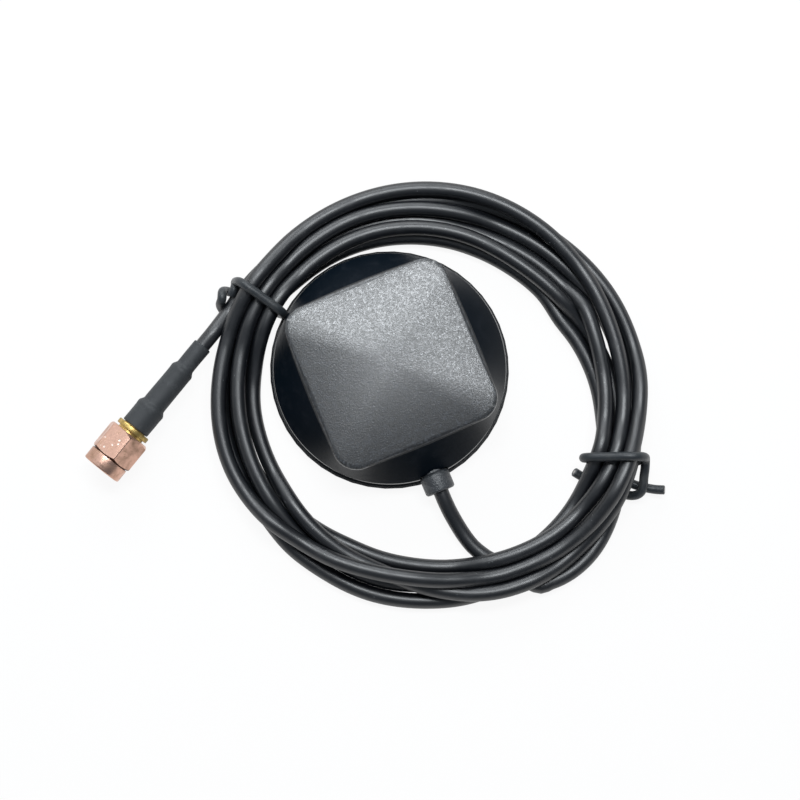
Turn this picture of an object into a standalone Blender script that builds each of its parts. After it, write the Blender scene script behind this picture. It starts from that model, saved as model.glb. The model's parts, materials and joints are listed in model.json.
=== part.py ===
"""Round satellite-navigation antenna: a puck with a square raised top, its coaxial lead
wound into a tied coil, and a threaded coaxial plug with a free-spinning hex nut.

The origin is the middle of the puck's underside, +Z is up, and the cable leaves towards -Y.
All lengths below are in metres, written as millimetres times MM.
"""

import math

import bmesh
import bpy
from mathutils import Matrix, Vector

MM = 0.001

# Clearances: between faces that rest on each other, round small pieces that fit together,
# and inside the tightest bores.
REST_GAP = 0.3 * MM
FIT_GAP = 0.15 * MM
SNUG_GAP = 0.1 * MM

# Puck housing: a square plateau over the module, and slopes down to a round rim
COVER_WALL = 1.6 * MM
RIM_WALL = 1.6 * MM
RIM_FILLET = 0.9 * MM
SLOPE_RUN = 6.1 * MM
LIP_REACH = 0.7 * MM
PLATEAU_MARGIN = 1.6 * MM
PLATEAU_CORNER = 4.5 * MM
PLATEAU_EDGE_DROP = 1.1 * MM
PLATEAU_FILLET = 1.7 * MM

# Base, foot and seal
FOOT_INSET = 4.3 * MM
FOOT_THICKNESS = 0.8 * MM
BASE_THICKNESS = 1.6 * MM
LOCATING_WALL = 1.1 * MM
LOCATING_HEIGHT = 1.3 * MM
SEAL_RADIUS = 0.35 * MM
SEAL_GROOVE_DEPTH = 0.75 * MM

# Screws that pull the base up against the cover's posts
SCREW_INSET = 3.6 * MM
SCREW_SHANK_RADIUS = 0.9 * MM
SCREW_SHANK_LENGTH = 6.2 * MM
SCREW_HEAD_RADIUS = 1.8 * MM
SCREW_HEAD_HEIGHT = 0.8 * MM
SCREW_RECESS_WIDTH = 0.45 * MM
POST_RADIUS = 1.8 * MM

# Receiver module inside the puck
BOARD_MARGIN = 0.3 * MM
BOARD_THICKNESS = 0.8 * MM
BOARD_CLEAR = 2.7 * MM
PATCH_SIDE = 25.0 * MM
PATCH_THICKNESS = 4.0 * MM
ELECTRODE_SIDE = 20.5 * MM
ELECTRODE_THICKNESS = 0.12 * MM
TAPE_SIDE = 14.0 * MM
TAPE_THICKNESS = 1.03 * MM
SHIELD_MARGIN = 3.3 * MM
SHIELD_WALL = 0.3 * MM
SHIELD_DEPTH = 2.0 * MM
AMPLIFIER_SIDE = 2.4 * MM
FILTER_SIZE = (3.2 * MM, 2.4 * MM)
CHIP_HEIGHT = 0.9 * MM
CHIP_X = 3.3 * MM
CHIP_Y = -3.0 * MM
FEED_RADIUS = 0.4 * MM
FEED_OFFSET = 2.2 * MM
FEED_HEAD_RADIUS = 0.9 * MM
SUPPORT_RADIUS = 1.2 * MM
SUPPORT_INSET = 1.5 * MM
MAGNET_RADIUS = 3.5 * MM
MAGNET_THICKNESS = 2.0 * MM
POCKET_WALL = 0.9 * MM
POCKET_SINK = 0.85 * MM

# Cable and the grommet that it leaves through
CABLE_RADIUS = 1.5 * MM
CORE_RADIUS = 0.75 * MM
CABLE_RISE = 1.1 * MM
GROMMET_RADIUS = 2.95 * MM
GROMMET_REACH = 3.3 * MM
GROMMET_LENGTH = 3.9 * MM
GROMMET_ROUND = 0.7 * MM
GROMMET_STEP = 0.8 * MM
GROMMET_EDGE = 0.5 * MM
GROMMET_FLANGE_RADIUS = 3.8 * MM
GROMMET_FLANGE = 1.1 * MM
JACKET_REACH = 4.8 * MM
CHANNEL_ROOM = 2.2 * MM
CORE_RUN = 4.8 * MM

# Wound coil: the outer shape of all its turns
COIL_CENTRE = Vector((4.6 * MM, -8.3 * MM, 0.0))
COIL_INNER = 34.8 * MM
COIL_OUTER = 41.6 * MM
COIL_BOTTOM = 2.2 * MM
COIL_TOP = 8.0 * MM
COIL_CORNER = 2.2 * MM

# Route of the cable from the grommet to the coil, chosen from the picture
LEAD_ROUTE = (
    (0.0, -26.2, 3.8),
    (0.0, -28.6, 3.3),
    (0.3, -31.3, 2.5),
    (0.7, -33.9, 1.9),
    (1.3, -36.6, 1.6),
    (2.4, -39.5, 1.55),
    (4.1, -41.8, 1.55),
)
ROUTE_STEP = 5.0 * MM

# Plug: its axis, where the sleeve begins on it, and its lengths along that axis
PLUG_AZIMUTH = math.radians(208.8)
PLUG_START = Vector((-31.9 * MM, 17.75 * MM, 4.7 * MM))
TAIL_FREE = 3.4 * MM
SLEEVE_THIN = 5.6 * MM
SLEEVE_MIDDLE = 9.4 * MM
SLEEVE_THICK = 5.2 * MM
SLEEVE_STEP = 0.5 * MM
CRIMP_DROP = 0.5 * MM
SLEEVE_WALL = 0.25 * MM
FERRULE_WALL = 0.55 * MM
STUB_RADIUS = 1.1 * MM
SHOULDER_RADIUS = 2.45 * MM
PLUG_FLANGE_RADIUS = 3.45 * MM
PLUG_FLANGE = 1.2 * MM
NUT_ACROSS_FLATS = 8.0 * MM
NUT_HEX_LENGTH = 5.9 * MM
NUT_COLLAR_LENGTH = 2.8 * MM
NUT_COLLAR_RADIUS = 4.0 * MM
NUT_NECK = 0.35 * MM
NUT_NECK_DEPTH = 0.3 * MM
NUT_CHAMFER = math.radians(30.0)
NUT_TURN = math.radians(14.0)
NUT_REAR_WALL = 1.4 * MM
NUT_THREAD_RADIUS = 3.05 * MM
BARREL_RADIUS = 2.75 * MM
RING_THICKNESS = 0.5 * MM
RING_GRIP = 0.3 * MM
RING_SETBACK = 0.6 * MM
LAND_LENGTH = 0.7 * MM
CONTACT_RADIUS = 2.3 * MM
CONTACT_LENGTH = 2.0 * MM
GASKET_THICKNESS = 0.6 * MM
INSULATOR_RADIUS = 1.98 * MM
INSULATOR_LENGTH = 3.6 * MM
PIN_RADIUS = 0.6 * MM
PIN_TIP_RADIUS = 0.46 * MM
PIN_TIP_LENGTH = 2.2 * MM

# Wire ties: each has its angle on the coil, the direction that it crosses the coil in, and its
# ends, chosen from the picture as (across the coil, sideways, height) in millimetres from the
# middle of the bundle. The wire goes from the first end over the coil and out to the last.
TIE_WIRE_RADIUS = 0.9 * MM
TIE_CORNER = 2.2 * MM
TIE_STEP = 1.3 * MM
TIE_LOOP_START = math.radians(10.0)
TIE_LOOP_END = math.radians(232.0)
TIE_LOOP_POINTS = 13
TIES = {
    "tie_right": (
        math.radians(-41.0),
        math.radians(-22.5),
        (
            (-7.7, -2.5, 2.0), (-5.7, -3.6, 1.3), (-2.5, -5.0, 0.95), (0.4, -6.2, 0.95),
            (2.7, -7.0, 1.1), (4.4, -7.1, 2.0), (5.4, -6.3, 3.1), (5.6, -5.1, 3.5),
            (5.6, -3.7, 3.7), (5.8, -2.2, 4.3),
        ),
        (
            (-0.2, -2.6, 0.95), (3.0, -4.4, 0.95), (4.6, -5.1, 1.0), (6.2, -5.5, 1.15),
            (8.1, -5.9, 1.6), (9.9, -6.0, 2.2),
        ),
    ),
    "tie_left": (
        math.radians(127.5),
        math.radians(122.5),
        ((4.4, 2.6, 4.9), (4.4, 2.0, 5.2), (4.5, 1.2, 5.7)),
        (
            (2.0, 0.9, 0.95), (3.9, 1.5, 0.95), (5.5, 2.0, 1.3), (6.4, 2.6, 2.6),
            (6.3, 3.2, 4.1), (5.5, 4.1, 5.2), (5.3, 4.8, 4.3), (5.5, 5.2, 2.9),
            (5.0, 5.6, 1.7), (4.0, 5.9, 0.98),
        ),
    ),
}

# Plan sizes of the puck, from the module outwards
BOARD_SIDE = PATCH_SIDE + 2 * BOARD_MARGIN
SHIELD_SIDE = BOARD_SIDE - 2 * SHIELD_MARGIN
SCREW_X = BOARD_SIDE / 2 - SCREW_INSET
SCREW_Y = BOARD_SIDE / 2 + REST_GAP + POST_RADIUS
PLATEAU_HALF = SCREW_Y + PLATEAU_MARGIN
COVER_RADIUS = PLATEAU_HALF + SLOPE_RUN
INNER_RADIUS = COVER_RADIUS - COVER_WALL
LIP_RADIUS = COVER_RADIUS + LIP_REACH
FOOT_RADIUS = LIP_RADIUS - FOOT_INSET
LOCATING_OUTER = INNER_RADIUS - REST_GAP
LOCATING_INNER = LOCATING_OUTER - LOCATING_WALL
POCKET_RADIUS = MAGNET_RADIUS + FIT_GAP
MAGNET_X = LOCATING_INNER + POCKET_SINK - POCKET_WALL - POCKET_RADIUS
GROMMET_TIP = COVER_RADIUS + GROMMET_REACH
GROMMET_SHOULDER = GROMMET_TIP - GROMMET_LENGTH
GROMMET_NECK_RADIUS = GROMMET_RADIUS - GROMMET_STEP
JACKET_INSIDE = INNER_RADIUS - JACKET_REACH

# Heights of the stacked pieces, from the surface up
BASE_BOTTOM = FOOT_THICKNESS + REST_GAP
BASE_TOP = BASE_BOTTOM + BASE_THICKNESS
COVER_BOTTOM = BASE_TOP + REST_GAP
CABLE_HEIGHT = BASE_TOP + CABLE_RISE
BOARD_BOTTOM = BASE_TOP + BOARD_CLEAR
BOARD_TOP = BOARD_BOTTOM + BOARD_THICKNESS
PATCH_BOTTOM = BOARD_TOP + REST_GAP
PATCH_TOP = PATCH_BOTTOM + PATCH_THICKNESS
ELECTRODE_BOTTOM = PATCH_TOP + FIT_GAP
ELECTRODE_TOP = ELECTRODE_BOTTOM + ELECTRODE_THICKNESS
TAPE_BOTTOM = ELECTRODE_TOP + REST_GAP
TAPE_TOP = TAPE_BOTTOM + TAPE_THICKNESS
CEILING = TAPE_TOP + REST_GAP
PUCK_HEIGHT = CEILING + COVER_WALL


def clear_scene():
    for obj in list(bpy.data.objects):
        bpy.data.objects.remove(obj, do_unlink=True)


def finish_material(name, colour, roughness, metallic=0.0):
    """A plain finish: its colour, roughness and metallic value."""
    material = bpy.data.materials.new(name)
    material.use_nodes = True
    shader = material.node_tree.nodes["Principled BSDF"]
    shader.inputs["Base Color"].default_value = (*colour, 1.0)
    shader.inputs["Roughness"].default_value = roughness
    shader.inputs["Metallic"].default_value = metallic
    return material


def shade(obj):
    obj.data.shade_smooth()
    obj.data.set_sharp_from_angle(angle=math.radians(32))


def mesh_piece(name, build, material):
    """An object whose mesh the function build fills."""
    mesh = bpy.data.meshes.new(name)
    form = bmesh.new()
    build(form)
    bmesh.ops.recalc_face_normals(form, faces=form.faces)
    form.to_mesh(mesh)
    form.free()
    mesh.materials.append(material)
    obj = bpy.data.objects.new(name, mesh)
    bpy.context.scene.collection.objects.link(obj)
    shade(obj)
    return obj


def skin_rings(form, rings, closed=False):
    """Faces between each ring of points and the next, capped at both ends unless closed."""
    rows = [[form.verts.new(point) for point in ring] for ring in rings]
    pairs = list(zip(rows, rows[1:]))
    if closed:
        pairs.append((rows[-1], rows[0]))
    else:
        form.faces.new(rows[0])
        form.faces.new(rows[-1])
    for lower, upper in pairs:
        count = len(lower)
        for i in range(count):
            j = (i + 1) % count
            form.faces.new((lower[i], lower[j], upper[j], upper[i]))


def circle(radius, height, steps, centre=Vector((0, 0, 0))):
    turns = [2 * math.pi * i / steps for i in range(steps)]
    return [centre + Vector((radius * math.cos(a), radius * math.sin(a), height)) for a in turns]


def turned(name, profile, material, steps=24, closed=False, centre=Vector((0, 0, 0))):
    """A piece turned about +Z from (radius, height) points: a solid, or a tube if closed."""
    rings = [circle(radius, height, steps, centre) for radius, height in profile]
    return mesh_piece(name, lambda form: skin_rings(form, rings, closed), material)


def block(name, size, centre, material, corner=0.0):
    """An upright block, with its four upright edges cut back by corner."""
    half_x, half_y = size[0] / 2, size[1] / 2
    outline = []
    for sx, sy in ((1, 1), (-1, 1), (-1, -1), (1, -1)):
        along_x = (sx * (half_x - corner), sy * half_y)
        along_y = (sx * half_x, sy * (half_y - corner))
        if corner == 0.0:
            outline.append(along_x)
        else:
            outline += [along_y, along_x] if sx == sy else [along_x, along_y]
    middle = Vector(centre)
    rings = []
    for height in (-size[2] / 2, size[2] / 2):
        rings.append([middle + Vector((x, y, height)) for x, y in outline])
    return mesh_piece(name, lambda form: skin_rings(form, rings), material)


def combine(target, tool, operation):
    """A Boolean of the target with a hidden tool."""
    tool.hide_render = True
    tool.display_type = "WIRE"
    step = target.modifiers.new(operation.title() + " " + tool.name, "BOOLEAN")
    step.operation = operation
    step.solver = "EXACT"
    step.object = tool


def smooth_route(points, step):
    """Points a step apart on a smooth curve through the given points."""
    ends = [2 * points[0] - points[1], *points, 2 * points[-1] - points[-2]]
    route = []
    for before, start, end, after in zip(ends, ends[1:], ends[2:], ends[3:]):
        pieces = max(1, round((end - start).length / step))
        for i in range(pieces):
            t = i / pieces
            bend = (2 * before - 5 * start + 4 * end - after) * t * t
            twist = (3 * start - before - 3 * end + after) * t**3
            route.append((2 * start + (end - before) * t + bend + twist) / 2)
    return [*route, points[-1]]


def tube(name, points, radius, material, sides=2):
    """A round wire or cable along the points, with closed ends."""
    curve = bpy.data.curves.new(name, "CURVE")
    curve.dimensions = "3D"
    curve.bevel_depth = radius
    curve.bevel_resolution = sides
    curve.use_fill_caps = True
    spline = curve.splines.new("POLY")
    spline.points.add(len(points) - 1)
    for place, point in zip(spline.points, points):
        place.co = (*point, 1.0)
    spline.use_smooth = True
    curve.materials.append(material)
    obj = bpy.data.objects.new(name, curve)
    bpy.context.scene.collection.objects.link(obj)
    return obj


# Puck outline


def outline_angles():
    """Angles round the puck, closer together at the square's corners."""
    quarter = [math.radians(a) for a in range(-36, 36, 9)]
    quarter += [math.radians(36 + 3 * i) for i in range(6)]
    return [a + math.pi / 2 * turn for turn in range(4) for a in quarter]


def square_reach(angle, half, corner):
    """Distance from the middle to the edge of a square with round corners."""
    folded = abs((angle + math.pi / 4) % (math.pi / 2) - math.pi / 4)
    straight = half - corner
    if math.tan(folded) * half <= straight:
        return half / math.cos(folded)
    lean = math.cos(folded) + math.sin(folded)
    return straight * lean + math.sqrt(corner**2 - straight**2 * (2 - lean**2))


def arc_corner(before, corner, after, radius, steps):
    """Points of the arc that rounds one corner of a section."""
    to_before = (before - corner).normalized()
    to_after = (after - corner).normalized()
    half_turn = to_before.angle(to_after) / 2
    reach = radius / math.tan(half_turn)
    middle = corner + (to_before + to_after).normalized() * radius / math.sin(half_turn)
    start = corner + to_before * reach - middle
    end = corner + to_after * reach - middle
    full = start.angle(end)
    points = []
    for i in range(steps + 1):
        t = i / steps
        mixed = start * math.sin((1 - t) * full) + end * math.sin(t * full)
        points.append(middle + mixed / math.sin(full))
    return points


def slope_section(inset):
    """The slope's section from the rim to the plateau: (share of the way in, height) points.

    The share runs from 0 at the round rim to 1 at the square plateau's edge. An inset moves
    the whole section inwards, for the cover's inside.
    """
    run = COVER_RADIUS - PLATEAU_HALF
    top = PUCK_HEIGHT - PLATEAU_EDGE_DROP - inset
    foot = Vector((0.0, COVER_BOTTOM))
    rim = Vector((0.0, COVER_BOTTOM + RIM_WALL - inset * 0.25))
    edge = Vector((run, top))
    beyond = Vector((run * 2, top + PLATEAU_EDGE_DROP * 0.5))
    rim_fillet = max(RIM_FILLET - inset * 0.4, 0.2 * MM)
    edge_fillet = max(PLATEAU_FILLET - inset * 0.6, 0.3 * MM)
    points = [foot]
    points += arc_corner(foot, rim, edge, rim_fillet, 3)
    points += arc_corner(rim, edge, beyond, edge_fillet, 3)
    return [(point.x / run, point.y) for point in points]


def cover_rings(inset):
    """Rings of the cover's outside, or of its inside for an inset, from the foot to the dome."""
    rim_radius = COVER_RADIUS - inset
    half = PLATEAU_HALF - inset * 0.95
    corner = PLATEAU_CORNER - inset * 0.95
    rings = []
    for share, height in slope_section(inset):
        ring = []
        for angle in outline_angles():
            reach = rim_radius + (square_reach(angle, half, corner) - rim_radius) * share
            ring.append(Vector((reach * math.cos(angle), reach * math.sin(angle), height)))
        rings.append(ring)
    edge_height = rings[-1][0].z
    top = PUCK_HEIGHT - inset
    for scale in (0.82, 0.5, 0.18):
        height = edge_height + (top - edge_height) * (1 - scale**2)
        last = rings[len(slope_section(inset)) - 1]
        rings.append([Vector((point.x * scale, point.y * scale, height)) for point in last])
    return rings


def cable_hole(name, radius, start, end):
    """A tool along the cable's way out, between two distances from the puck's middle."""
    tool = turned(name, [(radius, start), (radius, end)], MATERIALS["tool"], 24)
    tool.rotation_euler = (math.pi / 2, 0, 0)
    tool.location = (0, 0, CABLE_HEIGHT)
    return tool


def grommet_flange_outer():
    """Distance from the puck's middle to the outer face of the grommet's inside flange."""
    return LOCATING_INNER - 2 * REST_GAP


def cut_grommet_seat(piece):
    """The way through a housing half for the grommet's neck, and the seat of its boss."""
    neck_hole = GROMMET_NECK_RADIUS + FIT_GAP
    neck = cable_hole(f"neck_{piece.name}", neck_hole, FOOT_RADIUS, LIP_RADIUS + MM)
    combine(piece, neck, "DIFFERENCE")
    seat_hole = GROMMET_RADIUS + FIT_GAP
    seat_start = GROMMET_SHOULDER - FIT_GAP
    seat = cable_hole(f"seat_{piece.name}", seat_hole, seat_start, LIP_RADIUS + 2 * MM)
    combine(piece, seat, "DIFFERENCE")


def screw_places():
    return [(sx * SCREW_X, sy * SCREW_Y) for sy in (-1, 1) for sx in (-1, 1)]


def make_radome_cover():
    """The moulded shell: round rim, slopes, square plateau, and four screw posts inside."""
    outside = cover_rings(0.0)
    inside = cover_rings(COVER_WALL)
    rings = outside[::-1] + inside
    cover = mesh_piece(
        "radome_cover", lambda form: skin_rings(form, rings), MATERIALS["housing"]
    )
    post_top = CEILING - 0.6 * MM
    pilot_radius = SCREW_SHANK_RADIUS + FIT_GAP
    pilot_top = COVER_BOTTOM + SCREW_SHANK_LENGTH
    for i, (x, y) in enumerate(screw_places()):
        place = Vector((x, y, 0))
        profile = [(POST_RADIUS, COVER_BOTTOM), (POST_RADIUS, post_top)]
        post = turned(f"post_{i}", profile, MATERIALS["tool"], 12, centre=place)
        combine(cover, post, "UNION")
        profile = [(pilot_radius, COVER_BOTTOM - MM), (pilot_radius, pilot_top)]
        pilot = turned(f"pilot_{i}", profile, MATERIALS["tool"], 12, centre=place)
        combine(cover, pilot, "DIFFERENCE")
    cut_grommet_seat(cover)
    seat_radius = GROMMET_FLANGE_RADIUS + FIT_GAP
    seat_end = grommet_flange_outer() + FIT_GAP
    seat = cable_hole("flange_seat", seat_radius, seat_end - 2 * GROMMET_FLANGE, seat_end)
    combine(cover, seat, "DIFFERENCE")


def make_base_cover():
    """The base: a plate with a lip, a seal groove, a locating wall, supports and pockets."""
    locating_top = BASE_TOP + LOCATING_HEIGHT
    groove_middle = (INNER_RADIUS + COVER_RADIUS) / 2
    groove_half = SEAL_RADIUS + FIT_GAP
    edge = 0.35 * MM
    profile = [
        (LIP_RADIUS - edge, BASE_BOTTOM),
        (LIP_RADIUS, BASE_BOTTOM + edge),
        (LIP_RADIUS, BASE_TOP - edge),
        (LIP_RADIUS - edge, BASE_TOP),
        (groove_middle + groove_half, BASE_TOP),
        (groove_middle + groove_half, BASE_TOP - SEAL_GROOVE_DEPTH),
        (groove_middle - groove_half, BASE_TOP - SEAL_GROOVE_DEPTH),
        (groove_middle - groove_half, BASE_TOP),
        (LOCATING_OUTER, BASE_TOP),
        (LOCATING_OUTER, locating_top),
        (LOCATING_INNER, locating_top),
        (LOCATING_INNER, BASE_TOP),
    ]
    base = turned("base_cover", profile, MATERIALS["housing_base"], 44)
    sunk = BASE_TOP - 0.4 * MM
    support_at = BOARD_SIDE / 2 - SUPPORT_INSET
    for i, (sx, sy) in enumerate(((1, 1), (-1, 1), (-1, -1), (1, -1))):
        place = Vector((sx * support_at, sy * support_at, 0))
        profile = [(SUPPORT_RADIUS, sunk), (SUPPORT_RADIUS, BOARD_BOTTOM - REST_GAP)]
        support = turned(f"support_{i}", profile, MATERIALS["tool"], 12, centre=place)
        combine(base, support, "UNION")
    pocket_outer = POCKET_RADIUS + POCKET_WALL
    for side in (-1, 1):
        profile = [
            (POCKET_RADIUS, sunk),
            (pocket_outer, sunk),
            (pocket_outer, locating_top),
            (POCKET_RADIUS, locating_top),
        ]
        place = Vector((side * MAGNET_X, 0, 0))
        pocket = turned(f"pocket_{side}", profile, MATERIALS["tool"], 24, True, place)
        combine(base, pocket, "UNION")
    head_clear = SCREW_HEAD_RADIUS + FIT_GAP
    seat = BASE_BOTTOM + SCREW_HEAD_HEIGHT + REST_GAP
    shank_clear = SCREW_SHANK_RADIUS + FIT_GAP
    for i, (x, y) in enumerate(screw_places()):
        profile = [
            (head_clear, BASE_BOTTOM - MM),
            (head_clear, seat),
            (shank_clear, seat),
            (shank_clear, BASE_TOP + MM),
        ]
        place = Vector((x, y, 0))
        counterbore = turned(f"counterbore_{i}", profile, MATERIALS["tool"], 16, centre=place)
        combine(base, counterbore, "DIFFERENCE")
    cut_grommet_seat(base)
    channel_start = JACKET_INSIDE - CHANNEL_ROOM
    channel = cable_hole("base_channel", CABLE_RADIUS + REST_GAP, channel_start, LIP_RADIUS)
    combine(base, channel, "DIFFERENCE")


def make_foot_and_seal():
    """The foam pad under the base, and the seal cord that stops at the grommet."""
    bevel = 0.15 * MM
    profile = [
        (FOOT_RADIUS - bevel, 0.0),
        (FOOT_RADIUS, bevel),
        (FOOT_RADIUS, FOOT_THICKNESS - bevel),
        (FOOT_RADIUS - bevel, FOOT_THICKNESS),
    ]
    turned("foot_pad", profile, MATERIALS["foam"], 40)
    radius = (INNER_RADIUS + COVER_RADIUS) / 2
    height = BASE_TOP - SEAL_GROOVE_DEPTH + FIT_GAP + SEAL_RADIUS
    open_half = math.asin((GROMMET_RADIUS + FIT_GAP + 2 * SEAL_RADIUS) / radius)
    start = -math.pi / 2 + open_half
    sweep = 2 * math.pi - 2 * open_half
    steps = 36
    points = []
    for i in range(steps + 1):
        angle = start + sweep * i / steps
        points.append(Vector((radius * math.cos(angle), radius * math.sin(angle), height)))
    tube("seal_cord", points, SEAL_RADIUS, MATERIALS["seal"], 1)


def make_screws():
    """Four self-tapping screws with a cross recess, heads down."""
    head_low = BASE_BOTTOM + 0.1 * MM
    head_high = head_low + SCREW_HEAD_HEIGHT
    shank_top = head_high + SCREW_SHANK_LENGTH - 0.6 * MM
    for i, (x, y) in enumerate(screw_places()):
        place = Vector((x, y, 0))
        profile = [
            (SCREW_HEAD_RADIUS - 0.3 * MM, head_low),
            (SCREW_HEAD_RADIUS, head_low + 0.3 * MM),
            (SCREW_HEAD_RADIUS, head_high),
            (SCREW_SHANK_RADIUS, head_high),
            (SCREW_SHANK_RADIUS, shank_top - 0.8 * MM),
            (SCREW_SHANK_RADIUS * 0.3, shank_top),
        ]
        screw = turned(f"screw_{i + 1}", profile, MATERIALS["steel"], 16, centre=place)
        span = SCREW_HEAD_RADIUS * 1.15
        for k, size in enumerate(((span, SCREW_RECESS_WIDTH), (SCREW_RECESS_WIDTH, span))):
            recess = block(
                f"recess_{i}_{k}",
                (*size, SCREW_HEAD_HEIGHT),
                (x, y, head_low),
                MATERIALS["tool"],
            )
            combine(screw, recess, "DIFFERENCE")


def make_receiver():
    """Circuit board, ceramic patch and its electrode, shield can, chips, feed pin and tape."""
    middle = (BOARD_BOTTOM + BOARD_TOP) / 2
    hole_radius = FEED_RADIUS + FIT_GAP
    feed_at = Vector((0, FEED_OFFSET, 0))
    board = block(
        "circuit_board",
        (BOARD_SIDE, BOARD_SIDE, BOARD_THICKNESS),
        (0, 0, middle),
        MATERIALS["board"],
        0.8 * MM,
    )
    patch = block(
        "patch_ceramic",
        (PATCH_SIDE, PATCH_SIDE, PATCH_THICKNESS),
        (0, 0, (PATCH_BOTTOM + PATCH_TOP) / 2),
        MATERIALS["ceramic"],
        1.0 * MM,
    )
    electrode = block(
        "patch_electrode",
        (ELECTRODE_SIDE, ELECTRODE_SIDE, ELECTRODE_THICKNESS),
        (0, 0, (ELECTRODE_BOTTOM + ELECTRODE_TOP) / 2),
        MATERIALS["silver"],
        1.6 * MM,
    )
    profile = [(hole_radius, BOARD_BOTTOM - MM), (hole_radius, ELECTRODE_TOP + MM)]
    for piece in (board, patch, electrode):
        tool = turned(f"feed_hole_{piece.name}", profile, MATERIALS["tool"], 16, centre=feed_at)
        combine(piece, tool, "DIFFERENCE")
    head_bottom = ELECTRODE_TOP + FIT_GAP
    profile = [
        (FEED_RADIUS, BOARD_BOTTOM - REST_GAP),
        (FEED_RADIUS, head_bottom),
        (FEED_HEAD_RADIUS, head_bottom),
        (FEED_HEAD_RADIUS * 0.6, head_bottom + 0.35 * MM),
    ]
    turned("feed_pin", profile, MATERIALS["solder"], 16, centre=feed_at)
    tape = block(
        "patch_tape",
        (TAPE_SIDE, TAPE_SIDE, TAPE_THICKNESS),
        (0, 0, (TAPE_BOTTOM + TAPE_TOP) / 2),
        MATERIALS["foam"],
    )
    room_radius = FEED_HEAD_RADIUS + REST_GAP
    profile = [(room_radius, TAPE_BOTTOM - MM), (room_radius, TAPE_TOP + MM)]
    combine(tape, turned("tape_hole", profile, MATERIALS["tool"], 16, centre=feed_at), "DIFFERENCE")
    can_top = BOARD_BOTTOM - FIT_GAP
    can_bottom = can_top - SHIELD_DEPTH
    can = block(
        "shield_can",
        (SHIELD_SIDE, SHIELD_SIDE, SHIELD_DEPTH),
        (0, 0, (can_top + can_bottom) / 2),
        MATERIALS["tinplate"],
        0.6 * MM,
    )
    inner = SHIELD_SIDE - 2 * SHIELD_WALL
    hollow = block(
        "can_hollow",
        (inner, inner, SHIELD_DEPTH),
        (0, 0, (can_top + can_bottom) / 2 + SHIELD_WALL),
        MATERIALS["tool"],
        0.5 * MM,
    )
    combine(can, hollow, "DIFFERENCE")
    chip_middle = BOARD_BOTTOM - FIT_GAP - CHIP_HEIGHT / 2
    block(
        "amplifier_chip",
        (AMPLIFIER_SIDE, AMPLIFIER_SIDE, CHIP_HEIGHT),
        (-CHIP_X, CHIP_Y, chip_middle),
        MATERIALS["chip"],
        0.15 * MM,
    )
    block(
        "band_filter",
        (*FILTER_SIZE, CHIP_HEIGHT),
        (CHIP_X, CHIP_Y, chip_middle),
        MATERIALS["silver"],
        0.15 * MM,
    )


def make_magnets():
    bevel = 0.25 * MM
    low = BASE_TOP + REST_GAP
    high = low + MAGNET_THICKNESS
    for name, side in (("magnet_left", -1), ("magnet_right", 1)):
        profile = [
            (MAGNET_RADIUS - bevel, low),
            (MAGNET_RADIUS, low + bevel),
            (MAGNET_RADIUS, high - bevel),
            (MAGNET_RADIUS - bevel, high),
        ]
        turned(name, profile, MATERIALS["nickel"], 24, centre=Vector((side * MAGNET_X, 0, 0)))


def make_grommet():
    """The round cable boss: a rounded collar, its neck, and an inside flange cut flat below."""
    flange_outer = grommet_flange_outer()
    flange_inner = flange_outer - GROMMET_FLANGE
    bore = CABLE_RADIUS + FIT_GAP
    shoulder = arc_corner(
        Vector((GROMMET_NECK_RADIUS, GROMMET_SHOULDER)),
        Vector((GROMMET_RADIUS, GROMMET_SHOULDER)),
        Vector((GROMMET_RADIUS, GROMMET_TIP)),
        GROMMET_ROUND,
        3,
    )
    profile = [
        (bore, flange_inner),
        (GROMMET_FLANGE_RADIUS, flange_inner),
        (GROMMET_FLANGE_RADIUS, flange_outer),
        (GROMMET_NECK_RADIUS, flange_outer),
        (GROMMET_NECK_RADIUS, GROMMET_SHOULDER),
        *[(point.x, point.y) for point in shoulder],
        (GROMMET_RADIUS, GROMMET_TIP - GROMMET_EDGE),
        (GROMMET_RADIUS - GROMMET_EDGE * 0.3, GROMMET_TIP - GROMMET_EDGE * 0.3),
        (GROMMET_RADIUS - GROMMET_EDGE, GROMMET_TIP),
        (bore, GROMMET_TIP),
    ]
    grommet = turned("cable_grommet", profile, MATERIALS["grommet"], 24, True)
    grommet.rotation_euler = (math.pi / 2, 0, 0)
    grommet.location = (0, 0, CABLE_HEIGHT)
    floor_height = BASE_TOP + REST_GAP
    depth = 4.0 * MM
    flat = block(
        "flange_flat",
        (4 * GROMMET_FLANGE_RADIUS, GROMMET_FLANGE + 2 * REST_GAP, depth),
        (0, -(flange_inner + flange_outer) / 2, floor_height - depth / 2),
        MATERIALS["tool"],
    )
    combine(grommet, flat, "DIFFERENCE")


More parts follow.
